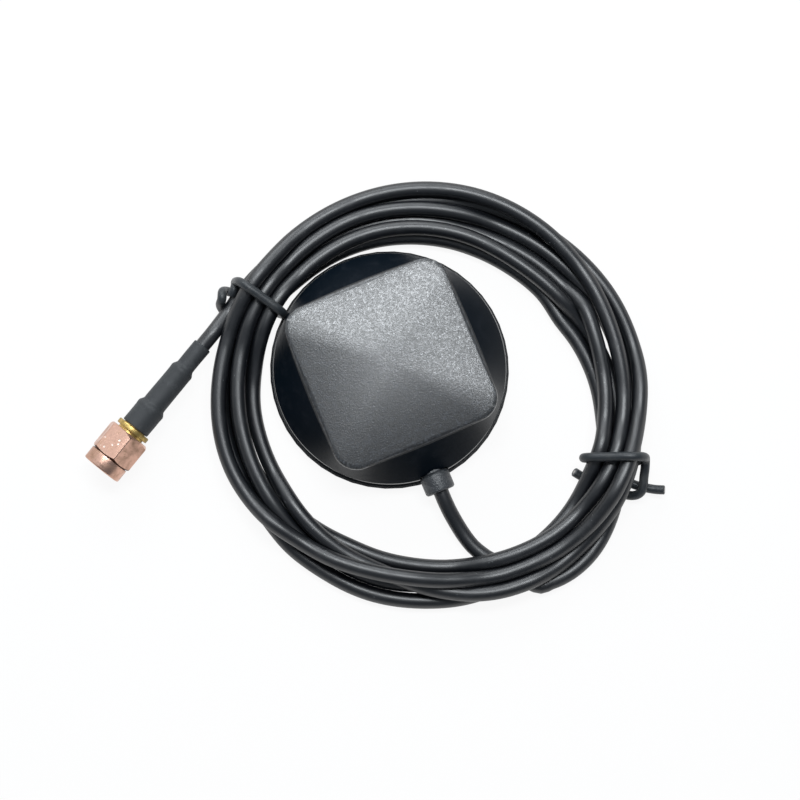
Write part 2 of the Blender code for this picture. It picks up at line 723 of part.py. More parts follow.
def make_cable():
    """The cable's ends inside the puck, its free lead, the wound coil and the free tail."""
    jacket_start = Vector((0, -GROMMET_TIP + 0.1 * MM, CABLE_HEIGHT))
    jacket_end = Vector((0, -JACKET_INSIDE, CABLE_HEIGHT))
    tube("inner_cable", [jacket_start, jacket_end], CABLE_RADIUS, MATERIALS["jacket"], 2)
    solder_height = BOARD_BOTTOM - REST_GAP - CORE_RADIUS * 0.5
    core_end = solder_height - CORE_RADIUS * 0.6
    core_route = [
        jacket_end + Vector((0, REST_GAP, 0)),
        jacket_end + Vector((0, CORE_RUN * 0.38, (core_end - CABLE_HEIGHT) * 0.1)),
        jacket_end + Vector((0, CORE_RUN * 0.7, (core_end - CABLE_HEIGHT) * 0.6)),
        Vector((0, -JACKET_INSIDE + CORE_RUN, core_end)),
    ]
    tube("inner_core", smooth_route(core_route, MM), CORE_RADIUS, MATERIALS["core"], 2)

    lead = [Vector(point) * MM for point in LEAD_ROUTE]
    tube("cable_lead", smooth_route(lead, ROUTE_STEP), CABLE_RADIUS, MATERIALS["jacket"], 2)

    corners = [
        Vector((COIL_INNER, COIL_BOTTOM)),
        Vector((COIL_OUTER, COIL_BOTTOM)),
        Vector((COIL_OUTER, COIL_TOP)),
        Vector((COIL_INNER, COIL_TOP)),
    ]
    profile = []
    for i, corner in enumerate(corners):
        profile += arc_corner(corners[i - 1], corner, corners[(i + 1) % 4], COIL_CORNER, 2)
    section = [(point.x, point.y) for point in profile]
    turned("cable_coil", section, MATERIALS["jacket"], 56, True, COIL_CENTRE)

    along = plug_direction()
    tail_end = SLEEVE_THIN + REST_GAP * 0.5
    tail = [PLUG_START + along * s for s in (-TAIL_FREE, -TAIL_FREE / 2, 0.0, tail_end)]
    tube("cable_tail", tail, CABLE_RADIUS, MATERIALS["jacket"], 2)


# Plug


def plug_direction():
    return Vector((math.cos(PLUG_AZIMUTH), math.sin(PLUG_AZIMUTH), 0.0))


def plug_frame():
    """An empty at the sleeve's start whose Z runs along the plug and whose X points up."""
    along = plug_direction()
    up = Vector((0, 0, 1))
    across = along.cross(up)
    axes = Matrix((up, across, along)).transposed().to_4x4()
    empty = bpy.data.objects.new("plug_axis", None)
    bpy.context.scene.collection.objects.link(empty)
    empty.matrix_world = Matrix.Translation(PLUG_START) @ axes
    return empty


def place_on_plug(obj, frame, distance=0.0):
    """Carries a piece on the plug's axis, its own origin at the given distance."""
    obj.parent = frame
    obj.location = (0, 0, distance)


def plug_stations():
    """Distances along the plug from the sleeve's start to each face that pieces share."""
    sleeve_end = SLEEVE_THIN + SLEEVE_MIDDLE + SLEEVE_THICK
    flange_start = sleeve_end + REST_GAP
    flange_end = flange_start + PLUG_FLANGE
    nut_start = flange_end + REST_GAP
    nut_end = nut_start + NUT_HEX_LENGTH + NUT_COLLAR_LENGTH
    ring_middle = nut_start + NUT_REAR_WALL + RING_SETBACK
    land_end = ring_middle + RING_THICKNESS / 2 + FIT_GAP + LAND_LENGTH
    return {
        "ferrule_start": SLEEVE_THIN + SLEEVE_STEP + FIT_GAP,
        "shoulder_start": SLEEVE_THIN + SLEEVE_MIDDLE + SLEEVE_STEP + FIT_GAP,
        "sleeve_end": sleeve_end,
        "flange_start": flange_start,
        "flange_end": flange_end,
        "nut_start": nut_start,
        "nut_end": nut_end,
        "ring_middle": ring_middle,
        "land_end": land_end,
        "contact_end": land_end + CONTACT_LENGTH,
    }


def make_sleeve(frame, at):
    """Shrink sleeve: three steps outside and in, over jacket, ferrule and shoulder."""
    thin = CABLE_RADIUS + SNUG_GAP
    thick = SHOULDER_RADIUS + FIT_GAP
    middle = thick - CRIMP_DROP
    first = SLEEVE_THIN
    second = SLEEVE_THIN + SLEEVE_MIDDLE
    profile = [
        (thin, 0.0),
        (thin + SLEEVE_WALL, 0.0),
        (thin + SLEEVE_WALL, first),
        (middle + SLEEVE_WALL, first + SLEEVE_STEP),
        (middle + SLEEVE_WALL, second),
        (thick + SLEEVE_WALL, second + SLEEVE_STEP),
        (thick + SLEEVE_WALL, at["sleeve_end"]),
        (thick, at["sleeve_end"]),
        (thick, second + SLEEVE_STEP),
        (middle, second),
        (middle, first + SLEEVE_STEP),
        (thin, first),
    ]
    sleeve = turned("heat_shrink", profile, MATERIALS["sleeve"], 24, True)
    place_on_plug(sleeve, frame)

    outer = middle - FIT_GAP
    start = at["ferrule_start"]
    end = at["shoulder_start"] - REST_GAP - SLEEVE_STEP
    profile = [
        (outer - FERRULE_WALL, start),
        (outer - 0.15 * MM, start),
        (outer, start + 0.15 * MM),
        (outer, end),
        (outer - FERRULE_WALL, end),
    ]
    ferrule = turned("crimp_ferrule", profile, MATERIALS["brass"], 24, True)
    place_on_plug(ferrule, frame)


def make_plug_body(frame, at):
    """Turned body: crimp stub, shoulder, flange, grooved barrel and thin contact end."""
    core_clear = CORE_RADIUS + FIT_GAP
    socket = INSULATOR_RADIUS + SNUG_GAP
    socket_start = at["contact_end"] - INSULATOR_LENGTH
    half_groove = RING_THICKNESS / 2 + FIT_GAP
    groove_floor = BARREL_RADIUS - RING_GRIP - 0.05 * MM
    stub_start = at["ferrule_start"] + 0.6 * MM
    profile = [
        (core_clear, stub_start),
        (STUB_RADIUS, stub_start),
        (STUB_RADIUS, at["shoulder_start"]),
        (SHOULDER_RADIUS, at["shoulder_start"]),
        (SHOULDER_RADIUS, at["flange_start"]),
        (PLUG_FLANGE_RADIUS - 0.2 * MM, at["flange_start"]),
        (PLUG_FLANGE_RADIUS, at["flange_start"] + 0.2 * MM),
        (PLUG_FLANGE_RADIUS, at["flange_end"] - 0.2 * MM),
        (PLUG_FLANGE_RADIUS - 0.2 * MM, at["flange_end"]),
        (BARREL_RADIUS, at["flange_end"]),
        (BARREL_RADIUS, at["ring_middle"] - half_groove),
        (groove_floor, at["ring_middle"] - half_groove),
        (groove_floor, at["ring_middle"] + half_groove),
        (BARREL_RADIUS, at["ring_middle"] + half_groove),
        (BARREL_RADIUS, at["land_end"]),
        (CONTACT_RADIUS, at["land_end"]),
        (CONTACT_RADIUS, at["contact_end"]),
        (socket, at["contact_end"]),
        (socket, socket_start),
        (core_clear, socket_start),
    ]
    body = turned("connector_body", profile, MATERIALS["brass"], 24, True)
    place_on_plug(body, frame)

    ring_inner = groove_floor + 0.05 * MM
    ring_outer = BARREL_RADIUS + FIT_GAP + RING_GRIP
    half_ring = RING_THICKNESS / 2
    profile = [
        (ring_inner, at["ring_middle"] - half_ring),
        (ring_outer, at["ring_middle"] - half_ring),
        (ring_outer, at["ring_middle"] + half_ring),
        (ring_inner, at["ring_middle"] + half_ring),
    ]
    ring = turned("retaining_ring", profile, MATERIALS["spring"], 24, True)
    place_on_plug(ring, frame)

    start = at["land_end"] + FIT_GAP
    profile = [
        (CONTACT_RADIUS + SNUG_GAP, start),
        (BARREL_RADIUS, start),
        (BARREL_RADIUS, start + GASKET_THICKNESS),
        (CONTACT_RADIUS + SNUG_GAP, start + GASKET_THICKNESS),
    ]
    gasket = turned("sealing_gasket", profile, MATERIALS["gasket"], 24, True)
    place_on_plug(gasket, frame)


def make_plug_inside(frame, at):
    """Insulator, centre pin and the cable's stripped core."""
    start = at["contact_end"] - INSULATOR_LENGTH + FIT_GAP
    pin_bore = PIN_RADIUS + SNUG_GAP
    profile = [
        (pin_bore, start),
        (INSULATOR_RADIUS, start),
        (INSULATOR_RADIUS, at["contact_end"]),
        (pin_bore, at["contact_end"]),
    ]
    insulator = turned("insulator", profile, MATERIALS["insulator"], 24, True)
    place_on_plug(insulator, frame)

    pin_end = at["contact_end"] + PIN_TIP_LENGTH
    profile = [
        (PIN_RADIUS, start - 0.4 * MM),
        (PIN_RADIUS, at["contact_end"]),
        (PIN_TIP_RADIUS, at["contact_end"] + 0.15 * MM),
        (PIN_TIP_RADIUS, pin_end - 0.4 * MM),
        (PIN_TIP_RADIUS * 0.45, pin_end),
    ]
    pin = turned("centre_pin", profile, MATERIALS["gold"], 24)
    place_on_plug(pin, frame)

    core_start = SLEEVE_THIN + REST_GAP * 1.5
    profile = [(CORE_RADIUS, core_start), (CORE_RADIUS, start - 0.4 * MM - FIT_GAP)]
    core = turned("cable_core", profile, MATERIALS["core"], 24)
    place_on_plug(core, frame)


def make_coupling_nut(frame, at):
    """Hex nut with a round collar, free to spin on the body; its origin is on the axis."""
    length = at["nut_end"] - at["nut_start"]
    corner_radius = NUT_ACROSS_FLATS / 2 / math.cos(math.pi / 6)
    half = NUT_ACROSS_FLATS / 2
    chamfer = (corner_radius - half) * math.tan(NUT_CHAMFER)
    hex_end = NUT_HEX_LENGTH
    rings = []
    for height in (0.0, hex_end):
        ring = []
        for k in range(6):
            angle = NUT_TURN + math.pi / 6 + k * math.pi / 3
            ring.append(
                Vector((corner_radius * math.cos(angle), corner_radius * math.sin(angle), height))
            )
        rings.append(ring)
    nut = mesh_piece("coupling_nut", lambda form: skin_rings(form, rings), MATERIALS["copper"])

    # The cone at each end turns the hexagon's corners into the usual arcs.
    profile = [
        (half - 0.1 * MM, 0.0),
        (corner_radius + 0.4 * MM, chamfer + 0.29 * MM),
        (corner_radius + 0.4 * MM, hex_end - chamfer - 0.29 * MM),
        (half - 0.1 * MM, hex_end),
    ]
    combine(nut, on_nut(turned("nut_cones", profile, MATERIALS["tool"], 36), frame, at), "INTERSECT")

    neck_end = hex_end + NUT_NECK
    bevel = 0.3 * MM
    profile = [
        (NUT_COLLAR_RADIUS - NUT_NECK_DEPTH, hex_end - 0.5 * MM),
        (NUT_COLLAR_RADIUS - NUT_NECK_DEPTH, neck_end),
        (NUT_COLLAR_RADIUS, neck_end),
        (NUT_COLLAR_RADIUS, length - bevel),
        (NUT_COLLAR_RADIUS - bevel, length),
    ]
    collar = on_nut(turned("nut_collar", profile, MATERIALS["tool"], 36), frame, at)
    combine(nut, collar, "UNION")

    relief_half = RING_THICKNESS / 2 + FIT_GAP + 0.1 * MM
    ring_at = at["ring_middle"] - at["nut_start"]
    relief = BARREL_RADIUS + FIT_GAP + RING_GRIP + FIT_GAP
    rear_bore = BARREL_RADIUS + FIT_GAP
    profile = [
        (rear_bore, -MM),
        (rear_bore, ring_at - relief_half),
        (relief, ring_at - relief_half),
        (relief, ring_at + relief_half),
        (NUT_THREAD_RADIUS, ring_at + relief_half),
        (NUT_THREAD_RADIUS, length - 0.4 * MM),
        (NUT_THREAD_RADIUS + 0.4 * MM, length),
        (NUT_THREAD_RADIUS + 0.4 * MM, length + MM),
    ]
    bore = on_nut(turned("nut_bore", profile, MATERIALS["tool"], 24), frame, at)
    combine(nut, bore, "DIFFERENCE")
    on_nut(nut, frame, at)


def on_nut(obj, frame, at):
    place_on_plug(obj, frame, at["nut_start"])
    return obj


# Wire ties


def tie_route(at_angle, run_angle, first_end, last_end):
    """Centre line of one tie: an end, the loop over and under the coil, and the other end."""
    radial = Vector((math.cos(at_angle), math.sin(at_angle), 0))
    across = Vector((math.cos(run_angle), math.sin(run_angle), 0))
    up = Vector((0, 0, 1))
    sideways = up.cross(across)
    lean = abs(radial.dot(across))
    offset = REST_GAP + TIE_WIRE_RADIUS
    half_width = (COIL_OUTER - COIL_INNER) / 2 / lean + offset
    half_height = (COIL_TOP - COIL_BOTTOM) / 2 + offset
    below = COIL_CENTRE + radial * (COIL_INNER + COIL_OUTER) / 2
    middle = below + up * (COIL_BOTTOM + COIL_TOP) / 2
    corner = TIE_CORNER + offset

    def on_loop(turn):
        """The loop as a box with round corners, by its direction from the middle."""
        x, y = math.cos(turn), math.sin(turn)
        reach = min(half_width / max(abs(x), 1e-6), half_height / max(abs(y), 1e-6))
        px, py = x * reach, y * reach
        inner_x, inner_y = half_width - corner, half_height - corner
        if abs(px) > inner_x and abs(py) > inner_y:
            cx, cy = math.copysign(inner_x, px), math.copysign(inner_y, py)
            dot = x * cx + y * cy
            reach = dot + math.sqrt(dot * dot - cx * cx - cy * cy + corner * corner)
            px, py = x * reach, y * reach
        return middle + across * px + up * py

    def beside(points):
        return [below + (across * x + sideways * y + up * z) * MM for x, y, z in points]

    sweep = TIE_LOOP_END - TIE_LOOP_START
    turns = [TIE_LOOP_START + sweep * i / TIE_LOOP_POINTS for i in range(TIE_LOOP_POINTS + 1)]
    loop = [on_loop(turn) for turn in turns]
    route = smooth_route([*beside(first_end), *loop, *beside(last_end)], TIE_STEP)
    for point in route:
        point.z = max(point.z, TIE_WIRE_RADIUS)
    return route


def make_ties():
    """Two plastic-coated wires, each round the coil once, with its ends crossed outside."""
    for name, course in TIES.items():
        tube(name, tie_route(*course), TIE_WIRE_RADIUS, MATERIALS["tie"], 2)


def make_materials():
    return {
        "housing": finish_material("housing", (0.045, 0.048, 0.052), 0.55),
        "housing_base": finish_material("housing_base", (0.02, 0.021, 0.023), 0.5),
        "foam": finish_material("foam", (0.03, 0.03, 0.03), 0.95),
        "seal": finish_material("seal", (0.02, 0.02, 0.02), 0.7),
        "steel": finish_material("steel", (0.55, 0.55, 0.56), 0.35, 1.0),
        "board": finish_material("board", (0.02, 0.16, 0.06), 0.45),
        "ceramic": finish_material("ceramic", (0.72, 0.62, 0.45), 0.6),
        "silver": finish_material("silver", (0.82, 0.81, 0.78), 0.3, 1.0),
        "solder": finish_material("solder", (0.7, 0.7, 0.72), 0.35, 1.0),
        "tinplate": finish_material("tinplate", (0.66, 0.66, 0.66), 0.35, 1.0),
        "chip": finish_material("chip", (0.02, 0.02, 0.02), 0.5),
        "nickel": finish_material("nickel", (0.68, 0.66, 0.62), 0.25, 1.0),
        "grommet": finish_material("grommet", (0.03, 0.032, 0.035), 0.7),
        "jacket": finish_material("jacket", (0.012, 0.014, 0.017), 0.38),
        "core": finish_material("core", (0.85, 0.84, 0.8), 0.5),
        "sleeve": finish_material("sleeve", (0.035, 0.037, 0.04), 0.7),
        "brass": finish_material("brass", (0.78, 0.57, 0.22), 0.3, 1.0),
        "copper": finish_material("copper", (0.74, 0.47, 0.36), 0.35, 1.0),
        "gold": finish_material("gold", (0.95, 0.72, 0.3), 0.2, 1.0),
        "spring": finish_material("spring", (0.6, 0.5, 0.32), 0.3, 1.0),
        "gasket": finish_material("gasket", (0.6, 0.12, 0.08), 0.6),
        "insulator": finish_material("insulator", (0.9, 0.9, 0.88), 0.4),
        "tie": finish_material("tie", (0.02, 0.021, 0.023), 0.5),
        "tool": finish_material("tool", (0.8, 0.2, 0.2), 0.5),
    }


clear_scene()
MATERIALS = make_materials()
make_radome_cover()
make_base_cover()
make_foot_and_seal()
make_screws()
make_receiver()
make_magnets()
make_grommet()
make_cable()
PLUG_FRAME = plug_frame()
STATIONS = plug_stations()
make_sleeve(PLUG_FRAME, STATIONS)
make_plug_body(PLUG_FRAME, STATIONS)
make_plug_inside(PLUG_FRAME, STATIONS)
make_coupling_nut(PLUG_FRAME, STATIONS)
make_ties()
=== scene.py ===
"""Dresses the round antenna: its moulded housing, wound cable, ties, plug and soft stage.

Lengths are in metres, in the part's own frame: the origin is the middle of the puck's
underside, +Z is up and the cable leaves towards -Y. The picture was taken from above,
turned by PICTURE_TURN about +Z.
"""

import json
import math

import bmesh
import bpy
import numpy as np
from bpy.props import FloatProperty, FloatVectorProperty, PointerProperty
from mathutils import Matrix, Vector


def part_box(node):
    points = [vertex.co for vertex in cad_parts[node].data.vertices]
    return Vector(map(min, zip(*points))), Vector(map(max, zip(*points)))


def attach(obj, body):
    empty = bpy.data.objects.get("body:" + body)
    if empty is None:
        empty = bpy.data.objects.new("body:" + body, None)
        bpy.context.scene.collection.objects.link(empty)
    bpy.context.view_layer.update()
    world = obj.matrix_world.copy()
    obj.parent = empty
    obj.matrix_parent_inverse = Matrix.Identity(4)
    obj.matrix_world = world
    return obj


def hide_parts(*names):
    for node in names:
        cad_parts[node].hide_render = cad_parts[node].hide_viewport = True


bl_info = {
    "name": "Round Antenna Dresser",
    "version": (1, 0, 0),
    "blender": (4, 5, 0),
    "location": "View3D > Sidebar > Antenna",
    "description": "Builds the fine surfaces, cable, ties, plug and stage of a round antenna",
    "category": "Object",
}

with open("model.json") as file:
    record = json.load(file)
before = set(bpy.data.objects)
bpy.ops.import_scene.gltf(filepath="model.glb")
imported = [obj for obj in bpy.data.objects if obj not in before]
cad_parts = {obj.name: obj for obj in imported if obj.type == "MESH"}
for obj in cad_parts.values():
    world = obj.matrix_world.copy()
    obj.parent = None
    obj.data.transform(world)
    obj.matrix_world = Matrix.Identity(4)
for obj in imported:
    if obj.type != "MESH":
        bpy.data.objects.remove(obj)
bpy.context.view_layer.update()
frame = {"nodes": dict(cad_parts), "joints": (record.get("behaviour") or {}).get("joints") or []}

MM = 0.001
UP = Vector((0, 0, 1))

# Where the camera stood, from the puck's rim and plateau in the picture
PICTURE_TURN = math.radians(-22.5)
CAMERA_TARGET = (2.08 * MM, -5.80 * MM)
CAMERA_DISTANCE = 0.36
CAMERA_TILT = math.radians(5.5)
CAMERA_SIDE = math.radians(1.6)
CAMERA_LENS = 82.62
SENSOR_WIDTH = 36.0

# Puck
COVER_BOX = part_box("radome_cover")
PUCK_TOP = COVER_BOX[1][2]
COVER_BOTTOM = COVER_BOX[0][2]
COVER_RADIUS = COVER_BOX[1][0]
COVER_WALL = 1.6 * MM
RIM_WALL = 1.6 * MM
RIM_FILLET = 0.75 * MM
PLATEAU_HALF = 16.5 * MM
PLATEAU_CORNER = 4.5 * MM
PLATEAU_DROP = 1.1 * MM
PLATEAU_FILLET = 1.7 * MM
GROMMET_RADIUS = 2.95 * MM
GROMMET_ROOT = 20.4 * MM
GROMMET_TIP = 25.9 * MM
GROMMET_SHOULDER = 22.0 * MM
GROMMET_NECK = 2.15 * MM
SEAT_GAP = 0.1 * MM
GRAIN_EDGES = (0.1 * MM, 0.6 * MM)
PLATEAU_GRAIN = 3000.0
CABLE_HEIGHT = 3.8 * MM

# Cable: out of the grommet, then under the coil
LEAD_ROUTE = (
    (0.0, -25.2, 3.8),
    (0.0, -26.2, 3.8),
    (0.0, -28.6, 3.3),
    (0.3, -31.3, 2.5),
    (0.7, -33.9, 1.9),
    (1.3, -36.6, 1.6),
    (2.4, -39.5, 1.55),
    (4.1, -41.8, 1.55),
)
# The coil, read from the picture: each row is one turn, and each pair in it the radius in
# millimetres and the layer, every twelfth of a turn from 300 degrees. Higher layers lie on top.
COIL_CENTRE = Vector((4.82 * MM, -7.78 * MM, 0.0))
COIL_STEP = 30.0
COIL_START = 300.0
LEAD_TURN = ((275.0, 37.8), (280.0, 40.8), (285.0, 42.5), (292.5, 43.0))
COIL_ROWS = (
    ((42.7, 0), (37.5, 1.1), (33.4, 4.7), (31.4, 6), (32.5, 6), (33.8, 6),
     (34.2, 6), (34.4, 6), (33.5, 6), (34.1, 5.4), (36.0, 3.2), (40.1, 2.5)),
    ((41.7, 2.5), (39.9, 3), (38.3, 3), (36.7, 4.7), (36.6, 6.5), (37.5, 6.5),
     (37.5, 6.5), (37.0, 6.5), (36.5, 6.5), (36.6, 1.5), (36.6, 1.5), (35.9, 1.5)),
    ((35.7, 1.5), (34.5, 4.5), (34.4, 5), (34.5, 3.5), (35.0, 1), (36.3, 1),
     (37.4, 1), (38.8, 1), (38.7, 1), (38.7, 1), (39.5, 1), (39.2, 1)),
    ((38.5, 1), (35.2, 0.7), (32.8, 0.5), (30.7, 0.5), (31.4, 0.5), (33.0, 0.5),
     (35.0, 0.5), (37.4, 0.5), (37.0, 2), (34.0, 4.6), (32.8, 5), (34.6, 5)),
    ((36.9, 5), (38.0, 5.3), (38.1, 7.4), (39.6, 8), (40.6, 8), (40.5, 8),
     (39.7, 8), (40.4, 8), (40.4, 9), (37.0, 9), (35.4, 9), (37.5, 8.7)),
    ((40.0, 8.1), (41.0, 7.5), (41.4, 7.5), (40.0, 5), (39.1, 2), (39.5, 2), (39.9, 2)),
)
TAIL_TURN = ((2288.5, 40.8), (2296.0, 42.7))
# Settling: degrees between points, rounds, and how each round sinks and evens the heights
SETTLE_STEP = 2.5
SETTLE_ROUNDS = 700
SETTLE_SINK = 0.02 * MM
SETTLE_EVEN = 0.06
SETTLE_STIFFNESS = 0.9 / 16
SETTLE_EASE = 1.2
# Turns from the free layer up go back to their wanted radius sooner than those below
LAYER_HEIGHT = 1.7 * MM
FREE_LAYER = 5.0
ROUTE_STEP = 1.1 * MM

# Plug: its axis, and where the sleeve starts on it
PLUG_ALONG = Vector(frame["joints"][0]["axis"]).normalized()
PLUG_START = Vector((-31.9 * MM, 17.75 * MM, 4.7 * MM))
# Points of the cable's line along that axis as it enters the sleeve, in millimetres
INTO_SLEEVE = (-3.4, -1.2, 1.0, 3.2, 5.4)

# Shrink sleeve. Each step has its place, how far its slope starts before it and ends after
# it, and the height of the hump that follows.
SLEEVE_RADII = (1.85 * MM, 2.35 * MM, 2.85 * MM)
SLEEVE_STEPS = (
    (5.6 * MM, 0.45 * MM, 0.75 * MM, 0.04 * MM),
    (15.0 * MM, 0.4 * MM, 0.7 * MM, 0.05 * MM),
)
SLEEVE_HUMP_AFTER = 0.9 * MM
SLEEVE_HUMP_WIDTH = 0.5 * MM
SLEEVE_LIP_LENGTH = 0.16 * MM
SLEEVE_LIP_DEPTH = 0.12 * MM
SLEEVE_END = 20.45 * MM
SLEEVE_WALL = 0.3 * MM
SLEEVE_SIDES = 72
SLEEVE_RINGS = 130

# Plug's body, from its stem in the crimp to its contact end
BODY_BORE = 0.95 * MM
STEM_RADIUS = 1.1 * MM
STEM_LENGTH = 9 * MM
BODY_RADIUS = 2.4 * MM
FLANGE_GAP = 0.12 * MM
FLANGE_LENGTH = 1.0 * MM
FLANGE_RADIUS = 3.45 * MM
BARREL_RADIUS = 2.75 * MM
RING_CLEARANCE = 0.1 * MM
GASKET_CLEARANCE = 0.15 * MM
CONTACT_RADIUS = 2.3 * MM
CONTACT_BORE = 2.1 * MM
CONTACT_DEPTH = 3.6 * MM
# Radii of the rounded corners, by their number in the body's outline
BODY_ROUNDING = {5: 0.2 * MM, 6: 0.16 * MM, 14: 0.12 * MM, 15: 0.05 * MM}

# Coupling nut and its thread
NUT_ACROSS_FLATS = 8.0 * MM
NUT_HEX_LENGTH = 5.9 * MM
NUT_COLLAR_RADIUS = 4.0 * MM
NUT_TURN = math.radians(14.0)
NUT_BORE = 3.05 * MM
# The rear and the front chamfer: their slopes, and how far inside the flats they start
NUT_CHAMFERS = (math.radians(40), math.radians(30))
NUT_FACE_INSETS = (0.15 * MM, 0.1 * MM)
NUT_EDGE_ROUNDING = 0.14 * MM
NUT_GROOVE = 0.16 * MM
NUT_NECK_DEPTH = 0.35 * MM
NUT_OVERLAP = 0.5 * MM
NUT_REAR_BORE = 2.9 * MM
NUT_REAR_WALL = 1.6 * MM
NUT_LEAD_IN = 0.4 * MM
# Dents on one flat of the nut, sunk in and painted with glints: the glints' colour, the dents' place along
# it and their spread
DENT_PAINTED_GLINT = (1.0, 0.88, 0.8)
DENT_HEIGHT = 3.6 * MM
DENT_REACH = 2.3 * MM
THREAD_PITCH = 0.706 * MM
THREAD_DEPTH = 0.3 * MM
THREAD_START = 3.1 * MM
THREAD_RUNOUT = 0.35 * MM
THREAD_SIDES = 72

# Wire ties. Each has its angle on the coil, the direction that it crosses the coil in, and
# its ends, read from the picture as (across the coil, sideways, height) in millimetres from
# the middle of the bundle. The wire goes from the first end over the coil to the last.
TIE_MIDDLE = 38.2 * MM
TIES = {
    "tie_right": (
        math.radians(-41.0), math.radians(-22.5),
        ((-7.7, -2.5, 2.0), (-5.7, -3.6, 1.3), (-2.5, -5.0, 0.95), (0.4, -6.2, 0.95), (2.7, -7.0, 1.1),
         (4.4, -7.1, 2.0), (5.4, -6.3, 3.1), (5.6, -5.1, 3.5), (5.6, -3.7, 3.7), (5.8, -2.2, 4.3)),
        ((-0.2, -2.6, 0.95), (3.0, -4.4, 0.95), (4.6, -5.1, 1.0), (6.2, -5.5, 1.15), (8.1, -5.9, 1.6),
         (9.9, -6.0, 2.2)),
    ),
    "tie_left": (
        math.radians(127.5), math.radians(122.5),
        ((4.4, 2.6, 4.9), (4.4, 2.0, 5.2), (4.5, 1.2, 5.7)),
        ((2.0, 0.9, 0.95), (3.9, 1.5, 0.95), (5.5, 2.0, 1.3), (6.4, 2.6, 2.6), (6.3, 3.2, 4.1),
         (5.5, 4.1, 5.2), (5.3, 4.8, 4.3), (5.5, 5.2, 2.9), (5.0, 5.6, 1.7), (4.0, 5.9, 0.98)),
    ),
}
# Round each tie, in degrees: how far the turns are lifted over its wire and where the lift is
# centred, and the share by which the bundle is drawn together
TIE_LIFT_SPREAD = 11.0
TIE_LIFT_SHIFT = {"tie_right": -3.5, "tie_left": 1.5}
TIE_SQUEEZE = {"tie_right": 0.12, "tie_left": 0.12}
# How far from the bundle's middle the tie looks for strands, and the points round each strand
TIE_SPAN = 11 * MM
TIE_OUTLINE_SIDES = 48
# The loop keeps the points above this height, and all those this far in under the bundle
TIE_LOOP_ABOVE = 3.2 * MM
TIE_LOOP_INSIDE = -4 * MM
TIE_SMOOTHING = 12
# The wire in a cut end, as (share of the tie's radius, depth)
TIE_CORE = ((0.42, -0.04 * MM), (0.46, 0.0), (0.46, 0.6 * MM))

# Stage: soft lamps, each with its place as (right, up the picture, height), size and radiance
LAMPS = (
    ("softbox", (0.02, 0.17, 0.52), (0.38, 0.11), 18.0),
    ("window", (-0.10, 0.50, 0.30), (0.50, 0.24), 4.5),
    ("card", (-0.42, 0.26, 0.40), (0.50, 0.50), 0.66),
)
LAMP_COLOUR = (0.93, 0.97, 1.0)
SKY = (0.18, 0.20, 0.225)

# White floor just under the foot pad, and the wall round it that low views look at
FLOOR_WHITENESS = 0.92
FLOOR_GAP = 0.05 * MM
BACKDROP_RADIUS = 1.5
BACKDROP_HEIGHT = 0.45


class CableSettings(bpy.types.PropertyGroup):
    """Sizes and colour of the coaxial cable and its ties."""

    diameter: FloatProperty(
        name="Cable diameter", description="Outside diameter of the jacket",
        default=3.0 * MM, min=1.0 * MM, max=6.0 * MM, unit="LENGTH", precision=4,
    )
    tie_diameter: FloatProperty(
        name="Tie diameter", description="Diameter of the coated tie wire",
        default=1.8 * MM, min=0.5 * MM, max=3.0 * MM, unit="LENGTH", precision=4,
    )
    jacket: FloatVectorProperty(
        name="Jacket colour", description="Colour of the cable's jacket",
        default=(0.002, 0.003, 0.005), subtype="COLOR", min=0.0, max=1.0,
    )
    tie: FloatVectorProperty(
        name="Tie colour", description="Colour of the ties' coating",
        default=(0.022, 0.026, 0.03), subtype="COLOR", min=0.0, max=1.0,
    )


class HousingSettings(bpy.types.PropertyGroup):
    """Colour of the moulded housing."""

    colour: FloatVectorProperty(
        name="Housing colour", description="Colour of the cover's plastic",
        default=(0.019, 0.0202, 0.022), subtype="COLOR", min=0.0, max=1.0,
    )


class PlugSettings(bpy.types.PropertyGroup):
    """Colours of the plug's metal and its sleeve."""

    nut: FloatVectorProperty(
        name="Nut colour", description="Colour of the nut's clean copper plating",
        default=(0.70, 0.43, 0.33), subtype="COLOR", min=0.0, max=1.0,
    )
    flange: FloatVectorProperty(
        name="Flange colour", description="Colour of the body's clean brass",
        default=(0.72, 0.50, 0.17), subtype="COLOR", min=0.0, max=1.0,
    )
    sleeve: FloatVectorProperty(
        name="Sleeve colour", description="Colour of the shrink sleeve",
        default=(0.03, 0.033, 0.036), subtype="COLOR", min=0.0, max=1.0,
    )


class StageSettings(bpy.types.PropertyGroup):
    """Light and floor of the stage."""

    light: FloatProperty(
        name="Light level", description="Multiplies the brightness of all the lamps",
        default=1.0, min=0.0, max=5.0, subtype="FACTOR",
    )
    floor: FloatVectorProperty(
        name="Floor colour", description="Colour of the paper under the antenna",
        default=(0.92, 0.92, 0.92), subtype="COLOR", min=0.0, max=1.0,
    )


def props():
    """The scene, which holds the four groups of settings."""
    return bpy.context.scene


# Helpers that make meshes


def linked(name, data):
    """An object for the data, in the scene's own collection."""
    obj = bpy.data.objects.new(name, data)
    bpy.context.scene.collection.objects.link(obj)
    return obj


def piece(name, mesh, materials, body, nodes=()):
    """An object for the mesh, riding on its body and standing for the given CAD nodes."""
    obj = linked(name, mesh)
    for material in materials:
        mesh.materials.append(material)
    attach(obj, body)
    if nodes:
        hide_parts(*nodes)
    return obj


